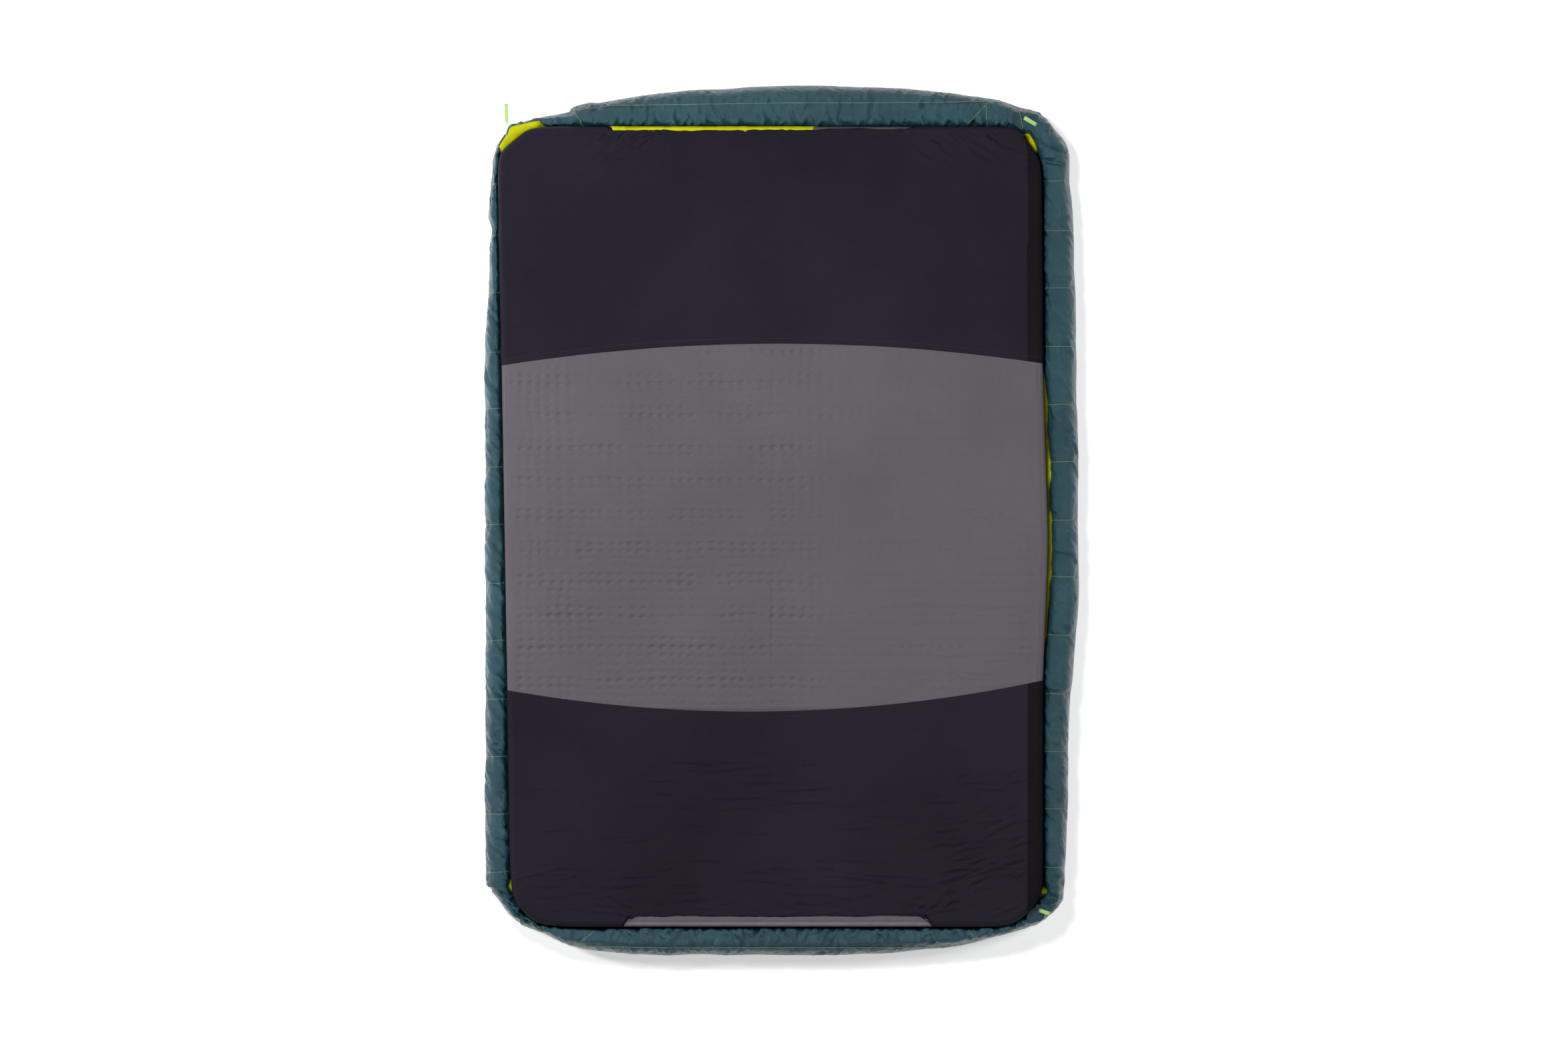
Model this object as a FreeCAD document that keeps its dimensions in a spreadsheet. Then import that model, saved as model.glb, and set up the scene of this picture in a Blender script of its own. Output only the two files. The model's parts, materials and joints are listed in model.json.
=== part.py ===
"""Two-person camp quilt, lying face down on its double sleeping pad.

Units are millimetres.  X runs across the quilt, +Y towards the head end and +Z up from the floor, with the
origin on the floor under the middle of the whole object.  From the floor up the layers are: outer shell,
insulation, lining, sleeping pad, and the two pockets that hold the pad's ends.  The quilt's edges curl up
round the pad as a padded rim.
"""
import FreeCAD, Part
import math
import os

doc = FreeCAD.newDocument("camp_quilt")
vector = FreeCAD.Vector

# ---------------------------------------------------------------- driving dimensions
DIMENSIONS = [
    # whole quilt
    ("half_width", 730.0),          # widest point of the rim, from the middle
    ("half_length", 1071.0),        # head or foot edge of the rim, from the middle
    ("rim_height", 92.0),           # top of the curled-up rim
    ("rim_top_radius", 26.0),
    ("rim_floor_radius", 18.0),
    ("base_thickness", 22.0),       # quilt pressed flat under the pad
    ("shell_skin", 1.2),
    ("lining_skin", 1.0),
    ("cup_corner", 30.0),           # the lining's corners round the pad
    ("cup_room", 0.3),              # between the pockets and the lining
    ("gap", 0.2),                   # between neighbouring soft layers
    # quilting
    ("channel_pitch", 142.2),       # from one quilted row to the next
    ("first_row", 852.0),           # quilted row nearest the head
    ("row_count", 13.0),
    ("thread", 1.6),
    # pad
    ("pad_height", 96.0),
    ("pad_left", -664.0),           # left side at the foot
    ("pad_right", 642.0),
    ("pad_lean", 34.0),             # how much further left the left side lies at the head
    ("pad_bulge", 15.0),            # how far the right side swells between the pockets
    ("pad_head", 964.0),
    ("pad_foot", -999.0),
    ("pad_corner", 85.0),
    ("pad_worn_corner", 105.0),     # the foot-right corner is pulled rounder
    ("pad_edge_radius", 14.0),
    ("pad_skin", 1.0),
    ("weld_inset", 13.0),           # perimeter weld, from the pad's side
    ("pad_centre", -23.0),          # centre seam between the two foam cores
    ("core_gap", 2.0),
    # pockets
    ("pocket_skin", 1.0),
    ("gusset_seam", 602.0),         # seam between panel and right gusset
    ("pocket_foot", 6.0),           # the gussets are sewn to the lining this far above the pad's underside
    ("hem_width", 14.0),
    ("hem_thickness", 2.6),
    ("elastic_width", 8.0),
    ("elastic_thickness", 0.8),
    ("binding_width", 10.0),
    # flat twist valves
    ("valve_inset", 92.0),          # valve centre, in from the pad's sides and foot end
    ("valve_radius", 22.0),
    ("valve_depth", 13.0),
    ("cap_radius", 18.0),
    ("cap_height", 6.0),
    ("cap_fit", 0.05),              # radial clearance of the cap in its body
    ("seal_height", 1.0),
    # tie loops
    ("tape_width", 9.0),
    ("tape_thickness", 0.8),
    ("loop_radius", 5.0),           # outside of the folded end
    ("tack_length", 2.2),
    ("tack_height", 2.4),
    ("tack_gap", 1.0),              # leaves the tape room to swing
]

sheet = doc.addObject("Spreadsheet::Sheet", "dims")
for row, (alias, value) in enumerate(DIMENSIONS, start=1):
    sheet.set(f"A{row}", alias)
    sheet.set(f"B{row}", str(value))
    sheet.setAlias(f"B{row}", alias)
doc.recompute()


def dim(alias):
    """A driving dimension, read back from the sheet."""
    return float(sheet.get(alias))


# ---------------------------------------------------------------- outlines
def rounded_wire(corners):
    """A closed wire through (x, y, radius) corners, each corner an arc tangent to both of its sides."""
    sides = []
    count = len(corners)
    for i, (x, y, radius) in enumerate(corners):
        here = vector(x, y, 0)
        before = vector(*corners[i - 1][:2], 0) - here
        after = vector(*corners[(i + 1) % count][:2], 0) - here
        turn = math.pi - before.getAngle(after)
        reach = min(radius * math.tan(turn / 2), 0.49 * before.Length, 0.49 * after.Length)
        radius = reach / math.tan(turn / 2)
        start = here + before.normalize() * reach
        end = here + after.normalize() * reach
        inward = (before + after).normalize()
        middle = here + inward * (math.hypot(radius, reach) - radius)
        sides.append((start, middle, end))
    edges = []
    for i, (start, middle, end) in enumerate(sides):
        edges.append(Part.LineSegment(sides[i - 1][2], start).toShape())
        edges.append(Part.Arc(start, middle, end).toShape())
    return Part.Wire(edges)


def grown(wire, distance):
    """The outline moved outwards by distance, or inwards where distance is negative."""
    return wire.makeOffset2D(distance, 0, False, False, False)


def polygon(*points):
    """A closed wire with sharp corners."""
    corners = [vector(x, y, 0) for x, y in points]
    return Part.makePolygon(corners + corners[:1])


def rectangle(x_low, x_high, y_low, y_high):
    return polygon((x_low, y_low), (x_high, y_low), (x_high, y_high), (x_low, y_high))


def rim_outline():
    """The quilt's silhouette from above, clockwise from the foot-left corner."""
    w, l = dim("half_width"), dim("half_length")
    return rounded_wire([
        (-w + 18, 156 - l, 30), (-w + 18, 183 - l, 10), (-w, 205 - l, 30), (-w, 430, 900), (-w + 14, 690, 900), (-w + 36, l - 130, 160),
        (-w + 52, l - 96, 24), (-w + 120, l - 82, 160), (-w + 270, l - 46, 260), (-300, l - 20, 900),
        (0, l, 3000), (290, l - 8, 1500), (w - 200, l - 34, 260), (w - 90, l - 76, 120),
        (w - 40, l - 150, 120), (w - 12, l - 320, 900), (w, 90, 1500), (w, -210, 500),
        (w - 22, -460, 900), (w - 30, -840, 900), (w - 38, 128 - l, 30), (w - 92, 76 - l, 140),
        (w - 290, 20 - l, 600), (210, -l, 2500), (-350, -l, 1500), (-w + 220, 12 - l, 260),
        (-w + 90, 84 - l, 140),
    ])


def pad_corners(radius, foot_right_radius):
    """Corners of the pad's own outline: a rounded oblong that leans left at the head and swells right."""
    left, right, head, foot = dim("pad_left"), dim("pad_right"), dim("pad_head"), dim("pad_foot")
    return [
        (left, foot, radius), (left - dim("pad_lean"), head, radius), (right, head, radius),
        (right, 400, 2000), (right + dim("pad_bulge"), -60, 2000), (right, -430, 2000),
        (right, foot, foot_right_radius),
    ]


def pad_left_at(y, inset):
    """X of the line that lies inset inside the pad's leaning left side."""
    share = (y - dim("pad_foot")) / (dim("pad_head") - dim("pad_foot"))
    return dim("pad_left") - share * dim("pad_lean") + inset


rim = rim_outline()
pad = rounded_wire(pad_corners(dim("pad_corner"), dim("pad_worn_corner")))
pocket_clearance = dim("gap") + dim("pocket_skin")
cup = grown(rounded_wire(pad_corners(dim("cup_corner"), dim("pad_corner"))), pocket_clearance + dim("cup_room"))


# ---------------------------------------------------------------- building blocks
def origin_plane(body, role):
    return next(f for f in body.Origin.OriginFeatures if f.Role == role)


def add_sketch(body, name, wires, height="0", role="XY_Plane"):
    """A sketch of closed wires on one of the body's own planes, raised by an expression."""
    sketch = body.newObject("Sketcher::SketchObject", name)
    sketch.AttachmentSupport = (origin_plane(body, role), [""])
    sketch.MapMode = "FlatFace"
    sketch.setExpression("AttachmentOffset.Base.z", height)
    for wire in wires:
        for edge in wire.Edges:
            if isinstance(edge.Curve, Part.Line):
                sketch.addGeometry(Part.LineSegment(edge.Vertexes[0].Point, edge.Vertexes[-1].Point))
            elif edge.isClosed():
                sketch.addGeometry(Part.Circle(edge.Curve.Center, edge.Curve.Axis, edge.Curve.Radius))
            else:
                sketch.addGeometry(Part.ArcOfCircle(edge.Curve, edge.FirstParameter, edge.LastParameter))
    return sketch


def prism(label, wires, low, length):
    """A body padded up from a flat outline; low and length are expressions."""
    body = doc.addObject("PartDesign::Body", label)
    body.Label = label
    feature = body.newObject("PartDesign::Pad", label + "_pad")
    feature.Profile = add_sketch(body, label + "_sketch", wires, low)
    feature.setExpression("Length", length)
    doc.recompute()
    return body


def round_rim(body, height, radius):
    """Rounds the edges of a body that lie at one height."""
    base = body.Tip
    names = [
        f"Edge{i}" for i, edge in enumerate(base.Shape.Edges, start=1)
        if all(abs(v.Z - height) < 0.01 for v in edge.Vertexes)
    ]
    fillet = body.newObject("PartDesign::Fillet", f"{body.Name}_round_{len(body.Group)}")
    fillet.Base = (base, names)
    fillet.setExpression("Radius", radius)
    body.Tip = fillet
    doc.recompute()


def pillow(label, wire, low, high, top_radius, low_radius=None):
    """A prism with its upper, and perhaps its lower, edges rounded; sizes are expressions."""
    body = prism(label, [wire], low, f"({high}) - ({low})")
    box = body.Shape.BoundBox
    round_rim(body, box.ZMax, top_radius)
    if low_radius:
        round_rim(body, box.ZMin, low_radius)
    return body


def cut(label, base, *tools):
    """base with each tool taken away in turn."""
    for number, tool in enumerate(tools, start=1):
        feature = doc.addObject("Part::Cut", label if number == len(tools) else f"{label}_step_{number}")
        feature.Base, feature.Tool = base, tool
        base = feature
    base.Label = label
    doc.recompute()
    return base


def common(label, base, tool):
    feature = doc.addObject("Part::Common", label)
    feature.Base, feature.Tool = base, tool
    feature.Label = label
    doc.recompute()
    return feature


def group(label, members):
    feature = doc.addObject("Part::Compound", label)
    feature.Links = members
    feature.Label = label
    doc.recompute()
    return feature


def block(label, x, y, z):
    """A box between (low, high) pairs; each end is a number or an expression."""
    box = doc.addObject("Part::Box", label)
    for axis, size, (low, high) in zip("xyz", ("Length", "Width", "Height"), (x, y, z)):
        box.setExpression(f"Placement.Base.{axis}", str(low))
        box.setExpression(size, f"({high}) - ({low})")
    doc.recompute()
    return box


def drum(label, x, y, radius, low, high):
    """An upright cylinder; sizes are expressions."""
    body = doc.addObject("Part::Cylinder", label)
    body.Placement.Base = vector(x, y, 0)
    body.setExpression("Radius", radius)
    body.setExpression("Placement.Base.z", low)
    body.setExpression("Height", f"({high}) - ({low})")
    doc.recompute()
    return body


parts = []


def keep(feature):
    """Marks an object as a finished sub-part."""
    parts.append(feature)
    return feature


# ---------------------------------------------------------------- quilt: shell, batt and lining
def quilt_blank(label, inset, inset_expression):
    """The whole quilt as one rounded slab, moved in by the same distance on every side."""
    return pillow(
        label, grown(rim, -inset) if inset else rim, inset_expression,
        f"dims.rim_height - ({inset_expression})",
        f"dims.rim_top_radius - ({inset_expression})",
        f"dims.rim_floor_radius - ({inset_expression})",
    )


def make_quilt():
    skin, lining_skin, gap = dim("shell_skin"), dim("lining_skin"), dim("gap")
    outside = quilt_blank("quilt_outside", 0, "0")
    shell_inside = quilt_blank("shell_inside", skin, "dims.shell_skin")
    batt_outside = quilt_blank("batt_outside", skin + gap, "dims.shell_skin + dims.gap")
    cup_space = prism(
        "cup_space", [grown(cup, lining_skin + gap)],
        "dims.base_thickness - dims.lining_skin - dims.gap", "dims.rim_height + 20",
    )
    keep(cut("outer_shell", outside, shell_inside, cup_space))
    keep(cut("insulation", batt_outside, cup_space))
    cup_outside = prism(
        "cup_outside", [grown(cup, lining_skin)],
        "dims.base_thickness - dims.lining_skin",
        "dims.rim_height - dims.base_thickness + dims.lining_skin",
    )
    cup_inside = prism("cup_inside", [cup], "dims.base_thickness", "dims.rim_height")
    keep(cut("lining", cup_outside, cup_inside))
    make_stitches(outside, cup_space)


def make_stitches(outside, cup_space):
    """Rows of quilting thread, lying on the rim and running down its outer side."""
    thread, height = dim("thread"), dim("rim_height")
    w, l = dim("half_width") + 10, dim("half_length") + 10
    raised = pillow(
        "thread_outside", grown(rim, thread / 2), "dims.rim_floor_radius", "dims.rim_height + dims.thread / 2",
        "dims.rim_top_radius + dims.thread / 2",
    )
    skin = cut("thread_skin", raised, outside, cup_space)
    rows = []
    for number in range(int(dim("row_count"))):
        y = dim("first_row") - number * dim("channel_pitch")
        rows.append(block(f"row_{number}", (-w, w), (y, f"{y} + dims.thread"), (0, height + 10)))
    for name, y_low, y_high in (("head", dim("pad_head") + 5, l), ("foot", -l, dim("pad_foot") - 5)):
        for side in (-1, 1):
            x = side * 500
            rows.append(
                block(f"{name}_row_{side + 1}", (x, f"{x} + dims.thread"), (y_low, y_high), (0, height + 10))
            )
    keep(common("quilting_stitches", skin, group("thread_rows", rows)))


# ---------------------------------------------------------------- pad
def make_pad():
    skin, gap, weld = dim("pad_skin"), dim("gap"), dim("weld_inset")
    low, high = "dims.base_thickness", "dims.base_thickness + dims.pad_height"
    inner_low, inner_high = f"{low} + dims.pad_skin", f"{high} - dims.pad_skin"
    outside = pillow("pad_outside", pad, low, high, "dims.pad_edge_radius", "dims.pad_edge_radius")
    inside = pillow(
        "pad_inside", grown(pad, -skin), inner_low, inner_high,
        "dims.pad_edge_radius - dims.pad_skin", "dims.pad_edge_radius - dims.pad_skin",
    )
    face_space = prism("face_space", [grown(pad, -weld)], "0", "dims.base_thickness + dims.pad_height + 20")
    keep(cut("pad_side_wall", outside, inside, face_space))

    face = grown(pad, -weld - gap)
    keep(prism("pad_sleep_sheet", [face], low, "dims.pad_skin"))
    ground_sheet = prism("ground_sheet_blank", [face], inner_high, "dims.pad_skin")

    foam = pillow(
        "foam_blank", grown(pad, -skin - gap), f"{inner_low} + dims.gap", f"{inner_high} - dims.gap",
        "dims.pad_edge_radius - dims.pad_skin - dims.gap", "dims.pad_edge_radius - dims.pad_skin - dims.gap",
    )
    half_gap, reach = "dims.core_gap / 2", dim("half_length")
    halves = {
        "left": ((-reach, f"dims.pad_centre - {half_gap}"), -1),
        "right": ((f"dims.pad_centre + {half_gap}", reach), 1),
    }
    wells = []
    for side, (span, sign) in halves.items():
        x, y = valve_place(sign)
        well = drum(
            f"valve_well_{side}", x, y, "dims.valve_radius + dims.gap",
            f"{high} - dims.valve_depth - dims.gap", f"{high} + 20",
        )
        wells.append(well)
        half = block(f"half_{side}", span, (-reach, reach), (0, dim("pad_height") + 60))
        keep(cut(f"foam_core_{side}", common(f"foam_{side}", foam, half), well))
        make_valve(side, x, y, high)
    keep(cut("pad_ground_sheet", ground_sheet, *wells))


def valve_place(sign):
    """Centre of the left (-1) or right (1) valve, on the ground face near the foot corners."""
    side = dim("pad_left") if sign < 0 else dim("pad_right")
    return side - sign * dim("valve_inset"), dim("pad_foot") + dim("valve_inset")


def make_valve(side, x, y, high):
    """A flush cup welded in the ground sheet, a flat seal on its floor and a quarter-turn cap."""
    floor = f"{high} - dims.cap_height - dims.seal_height - dims.gap"
    cup_blank = drum(f"valve_blank_{side}", x, y, "dims.valve_radius", f"{high} - dims.valve_depth", high)
    mouth = drum(f"valve_mouth_{side}", x, y, "dims.cap_radius + dims.cap_fit", floor, f"{high} + 10")
    port = drum(f"valve_port_{side}", x, y, "dims.cap_radius / 4", "0", f"{high} + 10")
    keep(cut(f"valve_body_{side}", cup_blank, mouth, port))

    ring = drum(f"seal_ring_{side}", x, y, "dims.cap_radius / 2", floor, f"{floor} + dims.seal_height")
    keep(cut(f"valve_seal_{side}", ring, port))

    cap_low = f"{floor} + dims.seal_height + dims.gap / 2"
    cap = drum(f"cap_blank_{side}", x, y, "dims.cap_radius", cap_low, f"{cap_low} + dims.cap_height - dims.gap")
    grips = []
    for number, sign in enumerate((-1, 1)):
        grip = doc.addObject("Part::Ellipsoid", f"grip_{side}_{number}")
        grip.Radius1, grip.Radius2, grip.Radius3 = 3.4, 12.0, 6.0
        grip.Placement.Base = vector(x + sign * 9.0, y, 0)
        grip.setExpression("Placement.Base.z", high)
        grips.append(grip)
    keep(cut(f"valve_cap_{side}", cap, *grips))


# ---------------------------------------------------------------- pockets
POCKETS = {
    # hem: three points on its free edge, left to right; opening: (left, right, y of its edge);
    # end: y where the panel meets the gussets
    "head": {
        "hem": ((-677, 380), (-21, 432), (641, 383)),
        "opening": (-426, 325, 953), "end": 950, "outward": 1,
    },
    "foot": {
        "hem": ((-664, -420), (-21, -470), (641, -394)),
        "opening": (-385, 364, -971), "end": -985, "outward": -1,
    },
}
LEFT_BEVEL, RIGHT_BEVEL = 62, 46    # where the panels' corners are cut off, inside the pad's round corners


def hem_points(pocket, left, right, distance):
    """Left, middle and right points of the hem's curve, moved towards the end of the quilt by distance."""
    curve = Part.Arc(*[vector(x, y, 0) for x, y in pocket["hem"]]).toShape().Curve
    outward = pocket["outward"]

    def point(x):
        reach = math.sqrt(curve.Radius ** 2 - (x - curve.Center.x) ** 2)
        return vector(x, curve.Center.y + outward * reach + outward * distance, 0)

    return [point(left), point((left + right) / 2), point(right)]


def hem_wire(pocket, near, far):
    """The strip of a pocket between two distances from its free edge, over the flat of the pad."""
    left = pad_left_at(pocket["hem"][0][1], dim("weld_inset") + 2)
    right = dim("pad_right") - dim("weld_inset")
    first = hem_points(pocket, left, right, near)
    second = hem_points(pocket, left, right, far)
    return Part.Wire([
        Part.Arc(*first).toShape(), Part.LineSegment(first[2], second[2]).toShape(),
        Part.Arc(*reversed(second)).toShape(), Part.LineSegment(second[0], first[0]).toShape(),
    ])


def casing(label, wire, elastic_label, elastic_wire, space_wire):
    """A folded fabric casing on the pad's face and the elastic band that runs inside it."""
    low = "dims.base_thickness + dims.pad_height + dims.gap"
    fold = "(dims.hem_thickness - dims.elastic_thickness - dims.gap) / 2"
    blank = prism(label + "_blank", [wire], low, "dims.hem_thickness")
    space = prism(label + "_space", [space_wire], f"{low} + {fold}", "dims.elastic_thickness + dims.gap")
    keep(cut(label, blank, space))
    keep(prism(elastic_label, [elastic_wire], f"{low} + {fold} + dims.gap / 2", "dims.elastic_thickness"))


def make_pocket(name, pocket, skin):
    hem_width, gap, seam = dim("hem_width"), dim("gap"), dim("gusset_seam")
    sign, end = pocket["outward"], pocket["end"]
    open_left, open_right, open_y = pocket["opening"]
    bind_y = open_y - sign * dim("binding_width")
    beyond = sign * (dim("half_length") + 10)
    side = dim("half_width") + 10
    low, tall = "dims.base_thickness + dims.pocket_foot", "dims.pad_height"

    # panel: hem side, right seam, end with its opening, left seam
    weld = dim("weld_inset") + 2
    left_hem = pad_left_at(pocket["hem"][0][1], weld)
    hem = hem_points(pocket, left_hem, seam - gap, hem_width + gap)
    hem_right = hem_points(pocket, left_hem, dim("pad_right"), hem_width + gap)[2]
    turn_in = end - sign * LEFT_BEVEL
    left_turn, left_end = (pad_left_at(turn_in, weld), turn_in), (pad_left_at(end, weld) + LEFT_BEVEL, end)
    right_turn, right_end = (seam, end - sign * RIGHT_BEVEL), (seam - RIGHT_BEVEL, end)
    outline = [
        hem[2], vector(right_turn[0] - gap, right_turn[1], 0), vector(right_end[0] - gap, end, 0),
        vector(open_right, end, 0), vector(open_right, bind_y, 0), vector(open_left, bind_y, 0),
        vector(open_left, end, 0), vector(*left_end, 0), vector(*left_turn, 0), hem[0],
    ]
    sides = [Part.LineSegment(a, b).toShape() for a, b in zip(outline, outline[1:])]
    panel_wire = Part.Wire([Part.Arc(*hem).toShape()] + sides)
    panel_space = prism(f"{name}_panel_space", [panel_wire], low, tall)
    keep(common(f"{name}_pocket_panel", skin, panel_space))

    # gussets: side strips that wrap the pad's edge and its corner, up to the end opening
    left_wire = polygon(
        (-side, hem[0].y), (left_hem - gap, hem[0].y), (left_turn[0] - gap, left_turn[1]),
        (left_end[0] - gap, end + sign * gap), (open_left, end + sign * gap), (open_left, beyond), (-side, beyond),
    )
    right_wire = polygon(
        (side, hem_right.y), (hem_right.x, hem_right.y), (seam, hem[2].y), right_turn, (right_end[0], end + sign * gap),
        (open_right, end + sign * gap), (open_right, beyond), (side, beyond),
    )
    for label, wire in (("left", left_wire), ("right", right_wire)):
        space = prism(f"{name}_{label}_space", [wire], low, tall)
        keep(common(f"{name}_gusset_{label}", skin, space))

    # hem and end binding, each with its elastic
    band = (hem_width - dim("elastic_width")) / 2
    casing(
        f"{name}_hem", hem_wire(pocket, 0, hem_width), f"{name}_hem_elastic",
        hem_wire(pocket, band, hem_width - band), hem_wire(pocket, band - gap / 2, hem_width - band + gap / 2),
    )
    edge, inner = sorted((open_y, bind_y + sign * gap))
    narrow = 2.0
    casing(
        f"{name}_end_binding", rectangle(open_left + gap, open_right - gap, edge, inner),
        f"{name}_end_elastic",
        rectangle(open_left + narrow, open_right - narrow, edge + narrow, inner - narrow),
        rectangle(
            open_left + narrow - gap / 2, open_right - narrow + gap / 2,
            edge + narrow - gap / 2, inner - narrow + gap / 2,
        ),
    )


def make_pockets():
    """Both pockets are cut from one skin that fits over the pad."""
    gap = dim("gap")
    top = "dims.base_thickness + dims.pad_height + dims.gap"
    inside = pillow("pocket_inside", grown(pad, gap), "1", top, "dims.pad_edge_radius + dims.gap")
    outside = pillow(
        "pocket_outside", grown(pad, pocket_clearance), "2", f"{top} + dims.pocket_skin",
        "dims.pad_edge_radius + dims.gap + dims.pocket_skin",
    )
    skin = cut("pocket_skin_blank", outside, inside)
    for name, pocket in POCKETS.items():
        make_pocket(name, pocket, skin)


# ---------------------------------------------------------------- tie loops
# root of each loop, the heading of its tape from +X, its tilt below the level, and its free length
LOOPS = {
    "head_left": ((-676.0, 976.0, 78.0), 92.0, 0.0, 46.0),
    "head_right": ((622.0, 971.0, 93.2), 150.0, -9.5, 32.0),
    "foot_left": ((-713.2, -901.0, 60.0), 180.0, 82.0, 38.0),
    "foot_right": ((634.0, -960.0, 93.2), -18.0, -13.5, 25.0),
}


def teardrop(start, centre, radius, half_root):
    """A wire from a narrow root at x = start, by two tangents, round an arc about (centre, 0)."""
    lean = math.asin((radius - half_root) / (centre - start))
    touch = vector(centre - radius * math.sin(lean), radius * math.cos(lean), 0)
    below = vector(touch.x, -touch.y, 0)
    tip = vector(centre + radius, 0, 0)
    root = [vector(start, half_root, 0), vector(start, -half_root, 0)]
    edges = [
        Part.LineSegment(root[0], touch).toShape(), Part.Arc(touch, tip, below).toShape(),
        Part.LineSegment(below, root[1]).toShape(),
    ]
    if half_root:
        edges.append(Part.LineSegment(root[1], root[0]).toShape())
    return Part.Wire(edges)


def loop_turn(heading, tilt):
    """Turns a tape that lies along +X to its heading, and tips its end down by tilt."""
    return FreeCAD.Rotation(vector(0, 0, 1), heading).multiply(FreeCAD.Rotation(vector(0, 1, 0), tilt))


def make_loop(name, root, heading, tilt, length):
    """Tape folded on itself: both layers together at the root, and open round the folded end."""
    label = "loop_" + name
    tape, radius = dim("tape_thickness"), dim("loop_radius")
    centre = length - radius
    body = doc.addObject("PartDesign::Body", label)
    body.Label = label
    feature = body.newObject("PartDesign::Pad", label + "_pad")
    feature.Profile = add_sketch(
        body, label + "_sketch",
        [teardrop(0, centre, radius, tape), teardrop(5.0, centre, radius - tape, 0)], role="XZ_Plane",
    )
    feature.setExpression("Length", "dims.tape_width")
    feature.Midplane = True
    body.Placement = FreeCAD.Placement(vector(*root), loop_turn(heading, tilt))
    doc.recompute()
    keep(body)


def make_loops():
    """The loops, and a bar tack that holds each one's root to the quilt's edge."""
    tacks = []
    for name, (root, heading, tilt, length) in LOOPS.items():
        make_loop(name, root, heading, tilt, length)
        tack = doc.addObject("Part::Box", f"tack_{name}")
        tack.setExpression("Length", "dims.tack_length")
        tack.setExpression("Width", "dims.tape_width")
        tack.setExpression("Height", "dims.tack_height")
        level = 90 if tilt > 45 else 0
        turn = loop_turn(heading, level)
        back = vector(
            -dim("tack_length") - dim("tack_gap"), -dim("tape_width") / 2, -dim("tack_height") / 2
        )
        tack.Placement = FreeCAD.Placement(vector(*root) + turn.multVec(back), turn)
        tacks.append(tack)
    keep(group("loop_bartacks", tacks))


# ---------------------------------------------------------------- make, test and write
make_quilt()
make_pad()
make_pockets()
make_loops()
doc.recompute()

for thing in doc.Objects:
    if {"Invalid", "Error"} & set(thing.State):
        raise RuntimeError(f"{thing.Label} failed: {thing.State}")
for part in parts:
    if part.Shape.isNull() or not part.Shape.isValid() or not part.Shape.Solids:
        raise RuntimeError(f"{part.Label} has no valid solid")

os.makedirs("parts", exist_ok=True)
for part in parts:
    part.Shape.exportStep(f"parts/{part.Label}.step")
    print(f"{part.Label:22s} {len(part.Shape.Solids):3d} solids {part.Shape.Volume / 1e3:12.2f} cm3")
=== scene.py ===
"""Looks of the two-person camp quilt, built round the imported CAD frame.

Meshes are worked out in millimetres in the frame's own axes and scaled to metres when they are made.  The quilt
lies face down: its curled-up rim is a ring of padded tube round the sleeping pad, and the two pockets are
stretched over the pad's ends.
"""
import bpy
import json
import math
import numpy as np
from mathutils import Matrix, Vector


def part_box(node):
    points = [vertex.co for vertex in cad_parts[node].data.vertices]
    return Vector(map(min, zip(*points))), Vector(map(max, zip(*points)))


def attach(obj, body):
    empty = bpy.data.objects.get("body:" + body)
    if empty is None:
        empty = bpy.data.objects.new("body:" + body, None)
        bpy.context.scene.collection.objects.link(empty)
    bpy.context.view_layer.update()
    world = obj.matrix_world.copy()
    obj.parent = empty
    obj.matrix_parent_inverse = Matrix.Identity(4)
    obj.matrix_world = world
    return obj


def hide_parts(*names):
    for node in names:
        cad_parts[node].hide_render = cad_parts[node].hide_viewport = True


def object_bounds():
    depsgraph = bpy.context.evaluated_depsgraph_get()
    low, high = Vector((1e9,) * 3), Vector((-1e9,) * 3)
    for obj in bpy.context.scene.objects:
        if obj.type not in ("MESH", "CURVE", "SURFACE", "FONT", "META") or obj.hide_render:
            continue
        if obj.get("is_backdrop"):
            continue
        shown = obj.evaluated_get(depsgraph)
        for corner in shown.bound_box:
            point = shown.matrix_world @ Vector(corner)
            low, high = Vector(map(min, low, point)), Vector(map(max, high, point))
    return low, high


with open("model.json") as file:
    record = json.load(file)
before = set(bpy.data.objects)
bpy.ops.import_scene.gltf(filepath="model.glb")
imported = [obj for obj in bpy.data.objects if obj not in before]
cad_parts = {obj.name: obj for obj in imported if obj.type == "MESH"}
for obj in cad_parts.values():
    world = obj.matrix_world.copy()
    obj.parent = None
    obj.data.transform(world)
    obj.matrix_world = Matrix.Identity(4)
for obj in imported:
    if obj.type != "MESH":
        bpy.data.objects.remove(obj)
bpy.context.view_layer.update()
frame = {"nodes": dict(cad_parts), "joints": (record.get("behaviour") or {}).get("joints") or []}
MM = 0.001

# ---------------- numbers, in mm unless the name says otherwise
RIM_STEP = 3.0  # spacing of the rim's sections
RIM_TOP = 103.0
RIM_MIDDLE = 46.0  # height of the rim's widest line
RIM_POWER = 2.45  # superellipse power of its section's outer half
RIM_INNER_POWER = 4.2  # and of the half that presses against the pad
LINING_LEVEL = 47.0  # where the lining meets the rim in the crevice
SEAM_REACH = 13.0  # how far beside a quilting seam the tube is drawn in
SEAM_DEPTH = 5.5
FOLD_REACH = 5.0  # the same for a tucked fold at a corner
FOLD_DEPTH = 9.0
FOLD_WIDENING = 1.35
WRINKLE_GAIN = 2.1
WRINKLE_LIMIT = 6.5  # wrinkles level off towards this height
TUBE_ROWS = 66  # points round the rim's section
UNDER_ROWS = 46  # rings of the underside, from the rim to the middle
LEFT_ROW_SHIFT = -13.0  # the quilt lies a little askew, so its rows reach the left rim lower
PAD_TOP_RADIUS = 14.0
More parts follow.
